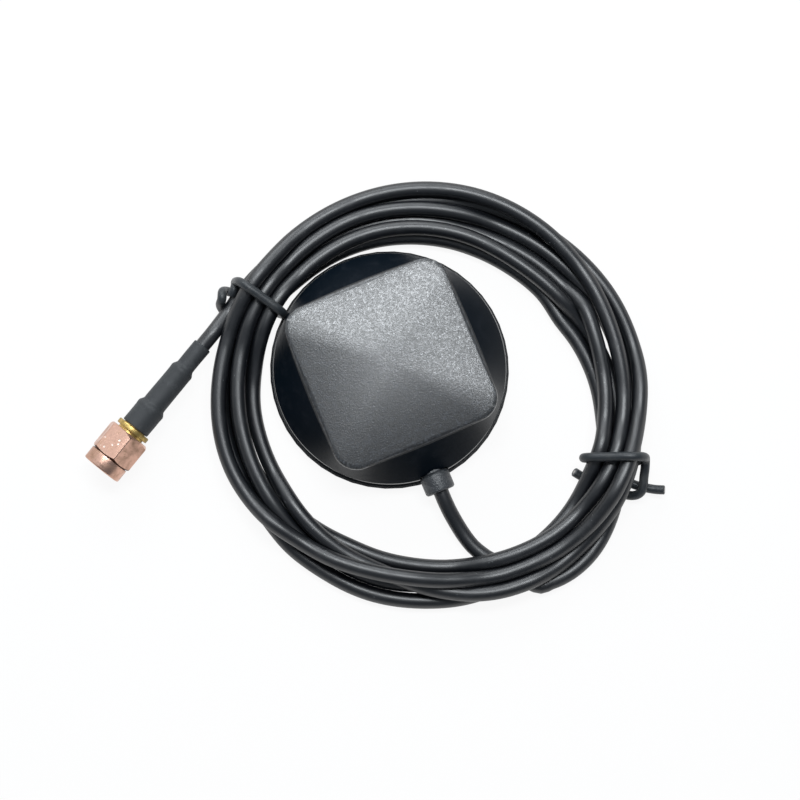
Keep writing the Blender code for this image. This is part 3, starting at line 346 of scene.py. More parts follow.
def smooth_through(points, step):
    """Points about a step apart on a smooth curve through the given points."""
    given = [Vector(point) for point in points]
    ends = [2 * given[0] - given[1], *given, 2 * given[-1] - given[-2]]
    route = []
    for before, start, end, after in zip(ends, ends[1:], ends[2:], ends[3:]):
        count = max(1, round((end - start).length / step))
        for i in range(count):
            t = i / count
            bend = (2 * before - 5 * start + 4 * end - after) * t * t
            twist = (3 * start - before - 3 * end + after) * t**3
            route.append((2 * start + (end - before) * t + bend + twist) / 2)
    return [*route, given[-1]]


def even_route(points, step):
    """The same line with points an even step apart."""
    line = np.array([tuple(p) for p in points])
    along = np.concatenate([[0], np.cumsum(np.linalg.norm(np.diff(line, axis=0), axis=1))])
    places = np.linspace(0, along[-1], max(2, round(along[-1] / step) + 1))
    return np.stack([np.interp(places, along, line[:, k]) for k in range(3)], axis=1)


def sweep_frames(route):
    """Tangent and two side directions at each point, carried along without twist."""
    tangents = np.gradient(route, axis=0)
    tangents /= np.linalg.norm(tangents, axis=1)[:, None]
    side = np.cross(tangents[0], (0.0, 0.0, 1.0))
    if np.linalg.norm(side) < 1e-6:
        side = np.array((1.0, 0.0, 0.0))
    sides = []
    for tangent in tangents:
        side = side - tangent * side.dot(tangent)
        side /= np.linalg.norm(side)
        sides.append(side)
    sides = np.array(sides)
    return tangents, sides, np.cross(tangents, sides)


def sweep(name, route, radius, sides=20, rounding=0.25):
    """A round tube along the route, its ends rounded off, with a UV map in metres."""
    tangents, across, above = sweep_frames(route)
    count = len(route)
    radii = np.full(count, radius) if np.isscalar(radius) else np.asarray(radius)
    along = np.concatenate([[0], np.cumsum(np.linalg.norm(np.diff(route, axis=0), axis=1))])
    edge = radii[0] * rounding
    rings = [(0, 0.0, radii[0] - edge, 0.0)]
    rings += [(i, 0.0, radii[i], along[i]) for i in range(count)]
    rings[1] = (0, edge, radii[0], edge)
    rings[-1] = (count - 1, -edge, radii[-1], along[-1] - edge)
    rings.append((count - 1, 0.0, radii[-1] - edge, along[-1]))
    form = bmesh.new()
    uv = form.loops.layers.uv.new("UVMap")
    rows = []
    turns = [2 * math.pi * k / sides for k in range(sides)]
    for i, shift, reach, _ in rings:
        middle = route[i] + tangents[i] * shift
        spokes = [across[i] * math.cos(a) + above[i] * math.sin(a) for a in turns]
        rows.append([form.verts.new(middle + spoke * reach) for spoke in spokes])
    around = 2 * math.pi * radii[0]
    for low, high, start, end in zip(rows, rows[1:], rings, rings[1:]):
        for k in range(sides):
            j = (k + 1) % sides
            face = form.faces.new((low[k], low[j], high[j], high[k]))
            places = ((start[3], k), (start[3], k + 1), (end[3], k + 1), (end[3], k))
            for loop, (u, v) in zip(face.loops, places):
                loop[uv].uv = (u, v / sides * around)
    form.faces.new(rows[0][::-1])
    form.faces.new(rows[-1])
    return finish_form(name, form)


def finish_form(name, form, sharp=40.0):
    """Turns the form into a smooth mesh with outward faces."""
    bmesh.ops.recalc_face_normals(form, faces=form.faces)
    mesh = bpy.data.meshes.new(name)
    form.to_mesh(mesh)
    form.free()
    mesh.shade_smooth()
    mesh.set_sharp_from_angle(angle=math.radians(sharp))
    return mesh


def ring(form, place, reach, height, sides, start=0.0):
    """Points about the place's Z; reach is their radius, or gives it at a height and angle."""
    points = []
    for k in range(sides):
        angle = start + 2 * math.pi * k / sides
        radius = float(reach(height, angle)) if callable(reach) else reach
        points.append(place @ Vector((radius * math.cos(angle), radius * math.sin(angle), height)))
    return [form.verts.new(point) for point in points]


def turned(name, profile, steps, closed, place):
    """A mesh turned about the place's Z from (radius, height) points."""
    form = bmesh.new()
    skin(form, [ring(form, place, radius, height, steps) for radius, height in profile], closed)
    return finish_form(name, form, 30.0)


def skin(form, rows, closed):
    """Faces between rows of points; closed joins the last row to the first, or both are capped."""
    pairs = list(zip(rows, rows[1:]))
    if closed:
        pairs.append((rows[-1], rows[0]))
    else:
        form.faces.new(rows[0][::-1])
        form.faces.new(rows[-1])
    for low, high in pairs:
        for k in range(len(low)):
            j = (k + 1) % len(low)
            form.faces.new((low[k], low[j], high[j], high[k]))


def rounded(points, radii, steps=5):
    """A section outline with the corner at each point rounded by its radius."""
    corners = [Vector(point) for point in points]
    outline = []
    for i, (corner, radius) in enumerate(zip(corners, radii)):
        if radius <= 0:
            outline.append(tuple(corner))
            continue
        before = (corners[i - 1] - corner).normalized()
        after = (corners[(i + 1) % len(corners)] - corner).normalized()
        half = before.angle(after) / 2
        reach = radius / math.tan(half)
        middle = corner + (before + after).normalized() * radius / math.sin(half)
        start, end = corner + before * reach - middle, corner + after * reach - middle
        full = start.angle(end)
        for k in range(steps + 1):
            t = k / steps
            mixed = start * math.sin((1 - t) * full) + end * math.sin(t * full)
            outline.append(tuple(middle + mixed / math.sin(full)))
    return outline


def cut(obj, tool, operation="DIFFERENCE"):
    """Applies a Boolean of the piece with a throwaway tool mesh."""
    cutter = linked("cutter", tool)
    step = obj.modifiers.new("cut", "BOOLEAN")
    step.operation = operation
    step.solver = "EXACT"
    step.object = cutter
    graph = bpy.context.evaluated_depsgraph_get()
    mesh = bpy.data.meshes.new_from_object(obj.evaluated_get(graph), depsgraph=graph)
    obj.modifiers.remove(step)
    obj.data = mesh
    bpy.data.objects.remove(cutter, do_unlink=True)
    mesh.shade_smooth()
    mesh.set_sharp_from_angle(angle=math.radians(30))


# Node groups: effects that several finishes share


class Graph:
    """Adds nodes to one node tree and joins them."""

    def __init__(self, tree):
        self.tree = tree

    def feed(self, socket, value):
        """Joins another node's output to the socket, or sets the socket to a value."""
        if isinstance(value, bpy.types.NodeSocket):
            self.tree.links.new(value, socket)
        else:
            socket.default_value = value

    def add(self, kind, feeds=None, **settings):
        """A node with its settings and what feeds its sockets."""
        node = self.tree.nodes.new(kind)
        for key, value in settings.items():
            setattr(node, key, value)
        for socket, value in (feeds or {}).items():
            self.feed(node.inputs[socket], value)
        return node

    def math(self, operation, first, second=0.0, third=0.0, clamp=False):
        """The result of one sum."""
        feeds = {0: first, 1: second, 2: third}
        node = self.add("ShaderNodeMath", feeds, operation=operation, use_clamp=clamp)
        return node.outputs[0]

    def mix(self, factor, first, second, blend="MIX"):
        """A mix of two colours."""
        feeds = {0: factor, 6: first, 7: second}
        node = self.add("ShaderNodeMix", feeds, data_type="RGBA", blend_type=blend)
        return node.outputs[2]

    def spread(self, value, low, high, bottom=0.0, top=1.0):
        """A value mapped from low..high to bottom..top, held at both ends."""
        feeds = {0: value, 1: low, 2: high, 3: bottom, 4: top}
        return self.add("ShaderNodeMapRange", feeds).outputs[0]

    def noise(self, place, scale, detail=2.0, roughness=0.5, distortion=0.0):
        """Soft cloudy noise."""
        feeds = {
            "Vector": place, "Scale": scale, "Detail": detail,
            "Roughness": roughness, "Distortion": distortion,
        }
        return self.add("ShaderNodeTexNoise", feeds).outputs[0]

    def cells(self, place, scale, feature="F1"):
        """Distance from the middles of scattered cells."""
        feeds = {"Vector": place, "Scale": scale, "Randomness": 1.0}
        return self.add("ShaderNodeTexVoronoi", feeds, feature=feature).outputs["Distance"]


def new_group(name, inputs, outputs):
    """An empty group with float or colour inputs and outputs, its ends and its graph."""
    tree = bpy.data.node_groups.new(name, "ShaderNodeTree")
    kinds = {"float": "NodeSocketFloat", "colour": "NodeSocketColor", "vector": "NodeSocketVector"}
    for label, kind, default in inputs:
        socket = tree.interface.new_socket(label, in_out="INPUT", socket_type=kinds[kind])
        if default is not None:
            socket.default_value = default
    for label, kind in outputs:
        tree.interface.new_socket(label, in_out="OUTPUT", socket_type=kinds[kind])
    graph = Graph(tree)
    start = graph.add("NodeGroupInput").outputs
    end = graph.add("NodeGroupOutput").inputs
    return graph, start, end


def grain_group():
    """Spark-eroded mould grain: fine rounded bumps, as a height and a small shade change."""
    graph, given, out = new_group(
        "mould grain",
        [("Place", "vector", None), ("Scale", "float", 3000.0), ("Unevenness", "float", 0.5)],
        [("Height", "float"), ("Shade", "float")],
    )
    fine = graph.noise(given["Place"], given["Scale"], 3.0, 0.62)
    coarse_scale = graph.math("MULTIPLY", given["Scale"], 0.42)
    coarse = graph.noise(given["Place"], coarse_scale, 1.0, 0.5)
    bumps = graph.spread(fine, 0.34, 0.66)
    swell = graph.math("MULTIPLY", coarse, given["Unevenness"])
    height = graph.math("ADD", bumps, swell)
    graph.feed(out["Height"], height)
    broad = graph.noise(given["Place"], graph.math("MULTIPLY", given["Scale"], 0.02), 2.0)
    shade = graph.math("MULTIPLY_ADD", bumps, 0.6, graph.math("MULTIPLY", broad, 0.4))
    graph.feed(out["Shade"], shade)
    return graph.tree


def sparkle_group():
    """Grain that glints: cells of random brightness, some of them bright, as a mask."""
    graph, given, out = new_group(
        "grain sparkle", [("Place", "vector", None), ("Scale", "float", 2600.0)], [("Glint", "float")]
    )
    parts = []
    for share in (1.0, 2.1):
        scale = graph.math("MULTIPLY", given["Scale"], share)
        spots = graph.add("ShaderNodeTexVoronoi", {"Vector": given["Place"], "Scale": scale})
        parts.append(graph.add("ShaderNodeSeparateColor", {0: spots.outputs["Color"]}).outputs[0])
    mixed = graph.math("MULTIPLY_ADD", parts[0], 0.5, graph.math("MULTIPLY", parts[1], 0.5))
    graph.feed(out["Glint"], graph.spread(mixed, 0.2, 0.85))
    return graph.tree


def wear_group():
    """Handling marks: soft scuffs and dust specks, as masks."""
    graph, given, out = new_group(
        "handling marks",
        [("Place", "vector", None), ("Scale", "float", 300.0), ("Dust", "float", 0.5)],
        [("Scuffs", "float"), ("Specks", "float")],
    )
    patches = graph.noise(given["Place"], given["Scale"], 4.0, 0.6, 0.4)
    graph.feed(out["Scuffs"], graph.spread(patches, 0.52, 0.72))
    specks = graph.cells(given["Place"], graph.math("MULTIPLY", given["Scale"], 3.0))
    here = graph.noise(given["Place"], graph.math("MULTIPLY", given["Scale"], 0.6), 2.0)
    near = graph.spread(specks, 0.05, 0.11, 1.0, 0.0)
    limit = graph.math("SUBTRACT", 0.78, graph.math("MULTIPLY", given["Dust"], 0.25))
    rare = graph.math("GREATER_THAN", here, limit)
    graph.feed(out["Specks"], graph.math("MULTIPLY", near, rare))
    return graph.tree


def drawn_group():
    """Marks of extrusion or drawing along a length: long streaks and faint beads."""
    graph, given, out = new_group(
        "drawn streaks",
        [("Place", "vector", None), ("Across", "float", 3000.0), ("Along", "float", 40.0)],
        [("Height", "float"), ("Shade", "float")],
    )
    scale = graph.add("ShaderNodeCombineXYZ", {0: given["Along"], 1: given["Across"], 2: given["Across"]})
    place = graph.add(
        "ShaderNodeVectorMath", {0: given["Place"], 1: scale.outputs[0]}, operation="MULTIPLY"
    ).outputs[0]
    streak = graph.noise(place, 1.0, 3.0, 0.6)
    skin_height = graph.noise(given["Place"], given["Across"], 2.0, 0.5)
    height = graph.math("MULTIPLY_ADD", streak, 0.7, graph.math("MULTIPLY", skin_height, 0.3))
    graph.feed(out["Height"], height)
    graph.feed(out["Shade"], graph.spread(streak, 0.3, 0.7))
    return graph.tree


def tarnish_group():
    """Handled plated metal: three tones in soft patches, with darker pits and stains."""
    graph, given, out = new_group(
        "tarnish",
        [
            ("Place", "vector", None), ("Scale", "float", 500.0), ("Bright", "colour", None),
            ("Dull", "colour", None), ("Stain", "colour", None), ("Amount", "float", 0.5),
        ],
        [("Colour", "colour"), ("Mask", "float"), ("Height", "float")],
    )
    patches = graph.noise(given["Place"], given["Scale"], 5.0, 0.62, 0.6)
    low = graph.math("SUBTRACT", 0.75, graph.math("MULTIPLY", given["Amount"], 0.5))
    high = graph.math("ADD", low, 0.22)
    mask = graph.add("ShaderNodeMapRange", {0: patches, 1: low, 2: high}).outputs[0]
    tone = graph.mix(mask, given["Bright"], given["Dull"])
    finer = graph.noise(given["Place"], graph.math("MULTIPLY", given["Scale"], 2.7), 4.0, 0.7)
    stain = graph.math("MULTIPLY", graph.spread(finer, 0.56, 0.72), given["Amount"])
    graph.feed(out["Colour"], graph.mix(stain, tone, given["Stain"]))
    pits = graph.cells(given["Place"], graph.math("MULTIPLY", given["Scale"], 4.0))
    pitted = graph.math("MULTIPLY", graph.spread(pits, 0.1, 0.3, 1.0, 0.0), graph.spread(finer, 0.5, 0.62))
    graph.feed(out["Mask"], graph.math("MAXIMUM", mask, pitted))
    graph.feed(out["Height"], graph.math("SUBTRACT", finer, pitted))
    return graph.tree


def lathe_group():
    """Turning marks: fine rings across the axis of a turned piece, as a height."""
    graph, given, out = new_group(
        "turning marks",
        [("Place", "vector", None), ("Axis", "vector", (0, 0, 1)), ("Pitch", "float", 0.0001)],
        [("Height", "float"), ("Shade", "float")],
    )
    along = graph.add(
        "ShaderNodeVectorMath", {0: given["Place"], 1: given["Axis"]}, operation="DOT_PRODUCT"
    ).outputs["Value"]
    turns = graph.math("DIVIDE", along, given["Pitch"])
    ripple = graph.math("SINE", graph.math("MULTIPLY", turns, 2 * math.pi))
    feeds = {"W": graph.math("MULTIPLY", turns, 0.7), "Scale": 1.0, "Detail": 2.0}
    band = graph.add("ShaderNodeTexNoise", feeds, noise_dimensions="1D").outputs[0]
    height = graph.math("MULTIPLY_ADD", ripple, 0.2, band)
    graph.feed(out["Height"], height)
    graph.feed(out["Shade"], graph.spread(band, 0.35, 0.65))
    return graph.tree


GROUPS = {}


def group(name):
    """The shared group, built the first time that a finish asks for it."""
    makers = {
        "grain": grain_group, "sparkle": sparkle_group, "wear": wear_group, "drawn": drawn_group,
        "tarnish": tarnish_group, "lathe": lathe_group,
    }
    if name not in GROUPS:
        GROUPS[name] = makers[name]()
    return GROUPS[name]


# Finishes


class Finish(Graph):
    """A material with a Principled shader and the means to lay effects on it."""

    def __init__(self, name, roughness, metallic=0.0):
        self.material = bpy.data.materials.new(name)
        self.material.use_nodes = True
        super().__init__(self.material.node_tree)
        self.shader = self.tree.nodes["Principled BSDF"]
        self.put("Roughness", roughness)
        self.put("Metallic", metallic)
        self.coords = self.add("ShaderNodeTexCoord").outputs

    def put(self, socket, value):
        """Sets one of the shader's own sockets, or joins it."""
        self.feed(self.shader.inputs[socket], value)

    def lay(self, tone, colour, mask, share):
        """The tone with a share of the colour over it where the mask is."""
        return self.mix(self.math("MULTIPLY", mask, share), tone, rgb(colour))

    def effect(self, name, **feeds):
        """A shared group placed in this material, with its place and own values."""
        node = self.add("ShaderNodeGroup", node_tree=group(name))
        feeds.setdefault("Place", self.coords["Object"])
        for label, value in feeds.items():
            self.feed(node.inputs[label], value)
        return node.outputs

    def bump(self, height, depth):
        """Lays a height on the surface; depth is how many metres a height of 1 stands for."""
        feeds = {"Strength": 1.0, "Distance": depth, "Height": height}
        self.put("Normal", self.add("ShaderNodeBump", feeds).outputs[0])


def rgb(colour):
    """The colour with full alpha."""
    return (*colour, 1.0)


def moulded(name, colour, dusty, roughness, scale, depth, specular=0.5, scuffed=0.35, ior=1.5):
    """Moulded plastic or rubber: grain, faint scuffs and dust."""
    finish = Finish(name, roughness)
    grain = finish.effect("grain", Scale=scale, Unevenness=0.5)
    wear = finish.effect("wear", Scale=350.0, Dust=0.4)
    tone = finish.lay(rgb(colour), dusty, wear["Scuffs"], scuffed)
    finish.put("Base Color", finish.lay(tone, dusty, wear["Specks"], 0.5))
    rough = finish.math("MULTIPLY_ADD", grain["Shade"], 0.12, roughness - 0.06)
    finish.put("Roughness", finish.math("MULTIPLY_ADD", wear["Scuffs"], 0.08, rough))
    finish.put("Specular IOR Level", specular)
    finish.put("IOR", ior)
    finish.bump(grain["Height"], depth)
    return finish.material


def metal(
    name, bright, dull, stain, roughness, amount,
    pitch=0.0, axis=(0, 0, 1), scale=500.0, dents=None,
):
    """Bare or plated metal: tarnished patches over turning marks.

    Dents may be given as the colour of their painted glints, the middle of their patch and its radius.
    """
    finish = Finish(name, roughness, 1.0)
    tarnish = finish.effect(
        "tarnish", Scale=scale, Bright=rgb(bright), Dull=rgb(dull), Stain=rgb(stain), Amount=amount
    )
    tone = tarnish["Colour"]
    finish.put("Roughness", finish.math("MULTIPLY_ADD", tarnish["Mask"], 0.22, roughness))
    height = finish.math("MULTIPLY", tarnish["Height"], 0.5)
    if dents:
        place = finish.coords["Object"]
        painted_glint, middle, reach = dents
        near = finish.spread(finish.cells(place, 1150.0), 0.14, 0.28, 1.0, 0.0)
        away = finish.add("ShaderNodeVectorMath", {0: place, 1: middle}, operation="DISTANCE")
        here = finish.spread(away.outputs["Value"], 0.8 * reach, reach, 1.0, 0.0)
        # The dents are sunk into the height and painted paler than the metal: painted glints
        dents_with_glints = finish.math("MULTIPLY", near, here)
        tone = finish.mix(dents_with_glints, tone, rgb(painted_glint))
        height = finish.math("SUBTRACT", height, dents_with_glints)
    finish.put("Base Color", tone)
    if pitch > 0:
        marks = finish.effect("lathe", Axis=axis, Pitch=pitch)
        height = finish.math("MULTIPLY_ADD", marks["Height"], 0.5, height)
    finish.bump(height, 0.012 * MM)
    return finish.material


# Coil


def hermite(knots, values, places):
    """A smooth curve through values at knots that may be unevenly spaced."""
    knots, values = np.asarray(knots, float), np.asarray(values, float)
    steps = np.diff(knots)
    slopes = np.diff(values) / steps
    tangents = np.empty_like(values)
    tangents[0], tangents[-1] = slopes[0], slopes[-1]
    weight = slopes[:-1] * steps[1:] + slopes[1:] * steps[:-1]
    tangents[1:-1] = weight / (steps[1:] + steps[:-1])
    i = np.clip(np.searchsorted(knots, places) - 1, 0, len(knots) - 2)
    t = (places - knots[i]) / steps[i]
    rise = (3 * t**2 - 2 * t**3) * (values[i + 1] - values[i])
    lean = (t**3 - 2 * t**2 + t) * tangents[i] + (t**3 - t**2) * tangents[i + 1]
    return values[i] + rise + lean * steps[i]


def lie_down(turns, wanted, layer, radius):
    """Lets the turns sink onto the floor and each other; gives their radii and heights.

    Points at one angle are discs that push each other apart across the bundle, while
    each is drawn back to its wanted radius and down, and the cable's stiffness evens it out.
    """
    count = len(turns)
    gap = 2 * radius
    slot = np.round(turns / SETTLE_STEP).astype(int) % round(360 / SETTLE_STEP)
    pairs = [(i, j) for i in range(count) for j in range(i) if slot[i] == slot[j]]
    first, second = np.array(pairs).T
    floor = np.full(count, radius)
    lift = props().antenna_cable.tie_diameter + 0.1 * MM
    wanted = wanted.copy()
    for name, (angle, *_) in TIES.items():
        away = (turns - math.degrees(angle) + 180) % 360 - 180
        wanted += (TIE_MIDDLE - wanted) * TIE_SQUEEZE[name] * np.exp(-((away / TIE_LIFT_SPREAD) ** 2))
        under = np.abs((away - TIE_LIFT_SHIFT[name]) / TIE_LIFT_SPREAD)
        floor += lift * np.exp(-(under**4))
    reach, height = wanted.copy(), radius + LAYER_HEIGHT * layer
    hold = 1 - 0.12 * np.where(layer >= FREE_LAYER, 1.0, 0.35)
    for _ in range(SETTLE_ROUNDS):
        height -= SETTLE_SINK
        height[1:-1] += SETTLE_EVEN * np.diff(height, 2)
        height[2:-2] -= SETTLE_STIFFNESS * np.diff(height, 4)
        shift = reach - wanted
        shift[1:-1] += np.diff(shift, 2) / 4
        reach = wanted + shift * hold
        for _ in range(3):
            out = reach[first] - reach[second]
            up = height[first] - height[second]
            apart = np.hypot(out, up) + 1e-9
            push = 0.5 * np.maximum(gap / apart - 1, 0)
            moves = np.zeros((3, count))
            for ends, sign in ((first, 1), (second, -1)):
                np.add.at(moves[0], ends, sign * push * out)
                np.add.at(moves[1], ends, sign * push * up)
                np.add.at(moves[2], ends, push > 0)
            ease = SETTLE_EASE / np.maximum(moves[2], 1)
            reach = reach + moves[0] * ease
            height = np.maximum(height + moves[1] * ease, floor)
    for _ in range(4):
        reach[1:-1] += np.diff(reach, 2) / 4
    return reach, height


def coil_route():
    """The whole cable's centre line, from the grommet to the plug's sleeve."""
    radius = props().antenna_cable.diameter / 2
    pairs = [pair for row in COIL_ROWS for pair in row]
    knots = [turn for turn, _ in LEAD_TURN]
    knots += [COIL_START + COIL_STEP * i for i in range(len(pairs))]
    knots += [turn for turn, _ in TAIL_TURN]
    wanted = [r for _, r in LEAD_TURN] + [r for r, _ in pairs] + [r for _, r in TAIL_TURN]
    layers = [0.0] * len(LEAD_TURN) + [layer for _, layer in pairs]
    layers += [pairs[-1][1]] * len(TAIL_TURN)
    turns = np.arange(knots[0], knots[-1] + 0.1, SETTLE_STEP)
    wanted = hermite(knots, wanted, turns) * MM
    layer = np.interp(turns, knots, layers)
    reach, height = lie_down(turns, wanted, layer, radius)
    angles = np.radians(turns)
    spots = np.stack([reach * np.cos(angles), reach * np.sin(angles), height], axis=1)
    coil = [Vector(spot) + COIL_CENTRE for spot in spots]
    lead = smooth_through([Vector(point) * MM for point in LEAD_ROUTE], 1.6 * MM)
    into_sleeve = [PLUG_START + PLUG_ALONG * s * MM for s in INTO_SLEEVE]
    joined = smooth_through([*lead[:-1:2], lead[-1], *coil[1:], *into_sleeve], 0.9 * MM)
    return even_route(joined, ROUTE_STEP)


def jacket_finish():
    """Satin extruded jacket: streaks along its length, faint scuffs and dust."""
    colours = props().antenna_cable
    finish = Finish("cable jacket", 0.4)
    streaks = finish.effect("drawn", Place=finish.coords["UV"], Across=2500.0, Along=60.0)
    wear = finish.effect("wear", Scale=260.0, Dust=0.9)
    dusty = tuple(c * 2.0 + 0.004 for c in colours.jacket)
    tone = finish.lay(rgb(colours.jacket), dusty, wear["Scuffs"], 0.3)
    finish.put("Base Color", finish.lay(tone, (0.35, 0.36, 0.37), wear["Specks"], 0.4))
    rough = finish.math("MULTIPLY_ADD", streaks["Shade"], 0.08, 0.36)
    finish.put("Roughness", finish.math("MULTIPLY_ADD", wear["Scuffs"], 0.1, rough))
    finish.put("Specular IOR Level", 0.9)
    finish.bump(streaks["Height"], 0.015 * MM)
    return finish.material


ROUTES = {}


def cable_route():
    """The cable's centre line, worked out once."""
    if "cable" not in ROUTES:
        ROUTES["cable"] = coil_route()
    return ROUTES["cable"]


def hull(points):
    """The points of the smallest convex outline round all points, anticlockwise."""
    ordered = sorted(map(tuple, points))
    sides = []
    for run in (ordered, ordered[::-1]):
        side = []
        for point in run:
            while len(side) > 1:
                (ax, ay), (bx, by) = side[-2:]
                if (bx - ax) * (point[1] - ay) - (by - ay) * (point[0] - ax) > 0:
                    break
                side.pop()
            side.append(point)
        sides += side[:-1]
    return sides


def tie_loop(middle, along, reach):
    """The tie's way round the bundle: the tight outline of the strands that its plane cuts.

    It is given from the outer side over the top and the inner side to the underneath, as
    (across the coil, height) points, one reach away from the strands.
    """
    route = cable_route()
    normal = UP.cross(along)
    radius = props().antenna_cable.diameter / 2 + reach
    offset = (route - np.array(middle)) @ np.array(normal)
    edges = []
    for i in np.flatnonzero(np.diff(np.sign(offset)) != 0):
        t = offset[i] / (offset[i] - offset[i + 1])
        place = Vector(route[i] + (route[i + 1] - route[i]) * t) - middle
        if abs(place.dot(along)) > TIE_SPAN:
            continue
        tangent = Vector(route[i + 1] - route[i]).normalized()
        wide = radius / abs(tangent.dot(normal))
        for k in range(TIE_OUTLINE_SIDES):
            a = 2 * math.pi * k / TIE_OUTLINE_SIDES
            edges.append((place.dot(along) + wide * math.cos(a), place.z + radius * math.sin(a)))
    outline = hull(edges)
    first = max(range(len(outline)), key=lambda i: outline[i][0])
    return outline[first:] + outline[:first]


def tie_route(name):
    """One tie's centre line: an end, the loop over and under the bundle, and the other end."""
    angle, run, first_end, last_end = TIES[name]
    radial = Vector((math.cos(angle), math.sin(angle), 0))
    along = Vector((math.cos(run), math.sin(run), 0))
    sideways = UP.cross(along)
    middle = COIL_CENTRE + radial * TIE_MIDDLE
    wire = props().antenna_cable.tie_diameter / 2
    outline = tie_loop(middle, along, wire)
    over = [(x, z) for x, z in outline if z > TIE_LOOP_ABOVE or x < TIE_LOOP_INSIDE]
    loop = [middle + along * x + UP * max(z, wire) for x, z in over]

    def placed(points):
        return [middle + (along * x + sideways * y + UP * z) * MM for x, y, z in points]

    line = smooth_through([*placed(first_end), *loop[::2], *placed(last_end)], 0.5 * MM)
    rough = even_route(line, 0.3 * MM)
    for _ in range(TIE_SMOOTHING):
        rough[1:-1] += np.diff(rough, 2, axis=0) / 4
    rough[:, 2] = np.maximum(rough[:, 2], wire)
    return even_route(rough, 0.35 * MM)


def tie_finishes():
    """The tie's matt coating, and the steel of its wire where it is cut."""
    colour = props().antenna_cable.tie
    coating = moulded("tie coating", colour, (0.09, 0.09, 0.085), 0.42, 3600.0, 0.012 * MM)
    core = metal("cut wire", (0.35, 0.34, 0.33), (0.14, 0.12, 0.1), (0.06, 0.05, 0.04), 0.4, 0.5)
    return coating, core


class ANTENNA_OT_twist_ties(bpy.types.Operator):
    """Pass the two coated wires round the coil and cross their ends"""

    bl_idname = "antenna.twist_ties"
    bl_label = "Twist Ties"

    def execute(self, context):
        radius = context.scene.antenna_cable.tie_diameter / 2
        coating, core = tie_finishes()
        for name in TIES:
            route = tie_route(name)
            wire = sweep(name, route, radius, 20, 0.12)
            piece(name + "_wire", wire, [coating], "root", (name,))
            for mark, end, following in (("_core_first", 0, 1), ("_core_last", -1, -2)):
                way = Vector(route[following] - route[end]).normalized()
                turn = way.to_track_quat("Z", "Y").to_matrix().to_4x4()
                place = Matrix.Translation(Vector(route[end])) @ turn
                profile = [(radius * share, depth) for share, depth in TIE_CORE]
                piece(name + mark, turned("core", profile, 24, False, place), [core], "root")
        return {"FINISHED"}


class ANTENNA_OT_wind_cable(bpy.types.Operator):
    """Lay the coaxial cable out of the grommet, round the puck and into the sleeve"""

    bl_idname = "antenna.wind_cable"
    bl_label = "Wind Cable"

    def execute(self, context):
        diameter = context.scene.antenna_cable.diameter
        route = cable_route()
        mesh = sweep("cable", route, diameter / 2, 22)
        nodes = ("cable_lead", "cable_coil", "cable_tail")
        cable = piece("cable", mesh, [jacket_finish()], "root", nodes)
        return {"FINISHED"}


# Housing


def outline_angles():
    """Angles round the puck, closer together at the plateau's corners."""
    quarter = [math.radians(a) for a in np.arange(-30, 30, 3)]
    quarter += [math.radians(30 + 1.25 * i) for i in range(24)]
    return [a + math.pi / 2 * turn for turn in range(4) for a in quarter]


def square_reach(angle, half, corner):
    """Distance from the middle to the edge of a square with round corners."""
    folded = abs((angle + math.pi / 4) % (math.pi / 2) - math.pi / 4)
    straight = half - corner
    if math.tan(folded) * half <= straight:
        return half / math.cos(folded)
    lean = math.cos(folded) + math.sin(folded)
    return straight * lean + math.sqrt(corner**2 - straight**2 * (2 - lean**2))


def along_exit():
    """A frame at the puck's middle whose Z runs out of the cable's exit."""
    return Matrix.Translation((0, 0, CABLE_HEIGHT)) @ Matrix.Rotation(math.pi / 2, 4, "X")


def cover_section(inset):
    """The slope's section: (share of the way in from the rim, height), as in the solid."""
    run = COVER_RADIUS - PLATEAU_HALF
    top = PUCK_TOP - PLATEAU_DROP - inset
    points = [
        (0.0, COVER_BOTTOM),
        (0.0, COVER_BOTTOM + RIM_WALL - inset * 0.25),
        (run, top),
        (run * 2, top + PLATEAU_DROP * 0.5),
    ]
    radii = (0.0, RIM_FILLET, PLATEAU_FILLET, 0.0)
    outline = rounded(points, radii, 10)[:-1]
    return [(x / run, z) for x, z in outline]


def cover_rows(form, inset):
    """Rows of points over the cover's outside, or its inside for an inset."""
    rim = COVER_RADIUS - inset
    half, corner = PLATEAU_HALF - inset, PLATEAU_CORNER - inset
    rows = []
    for share, height in cover_section(inset):
        row = []
        for angle in outline_angles():
            reach = rim + (square_reach(angle, half, corner) - rim) * share
            row.append(Vector((reach * math.cos(angle), reach * math.sin(angle), height)))
        rows.append(row)
    edge, top = rows[-1], PUCK_TOP - inset
    low = edge[0].z
    for scale in (0.96, 0.9, 0.8, 0.68, 0.54, 0.4, 0.26, 0.12):
        height = low + (top - low) * (1 - scale**2)
        rows.append([Vector((p.x * scale, p.y * scale, height)) for p in edge])
    return [[form.verts.new(point) for point in row] for row in rows]


def plateau_finish(colour):
    """The cover's raised top: coarse spark-eroded grain whose glints are partly painted as light cells in
    its colour, with a few small marks.
    """
    finish = Finish("plateau grain", 0.5)
    grain = finish.effect("grain", Scale=PLATEAU_GRAIN * 1.2, Unevenness=0.3)
    glint = finish.effect("sparkle", Scale=PLATEAU_GRAIN)["Glint"]
    wear = finish.effect("wear", Scale=260.0, Dust=0.15)
    # Cells of the glint mask are painted up to four times lighter than the plastic and the rest darker:
    # painted glints; the same mask makes them smoother
    bright = tuple(c * 4.0 for c in colour)
    tone = finish.mix(finish.math("POWER", glint, 3.0), rgb(tuple(c * 0.3 for c in colour)), rgb(bright))
    finish.put("Base Color", finish.mix(wear["Specks"], tone, rgb((0.28, 0.28, 0.27))))
    finish.put("Roughness", finish.math("MULTIPLY_ADD", glint, -0.16, 0.41))
    finish.put("Specular IOR Level", 1.0)
    finish.bump(grain["Height"], 0.011 * MM)
    return finish.material


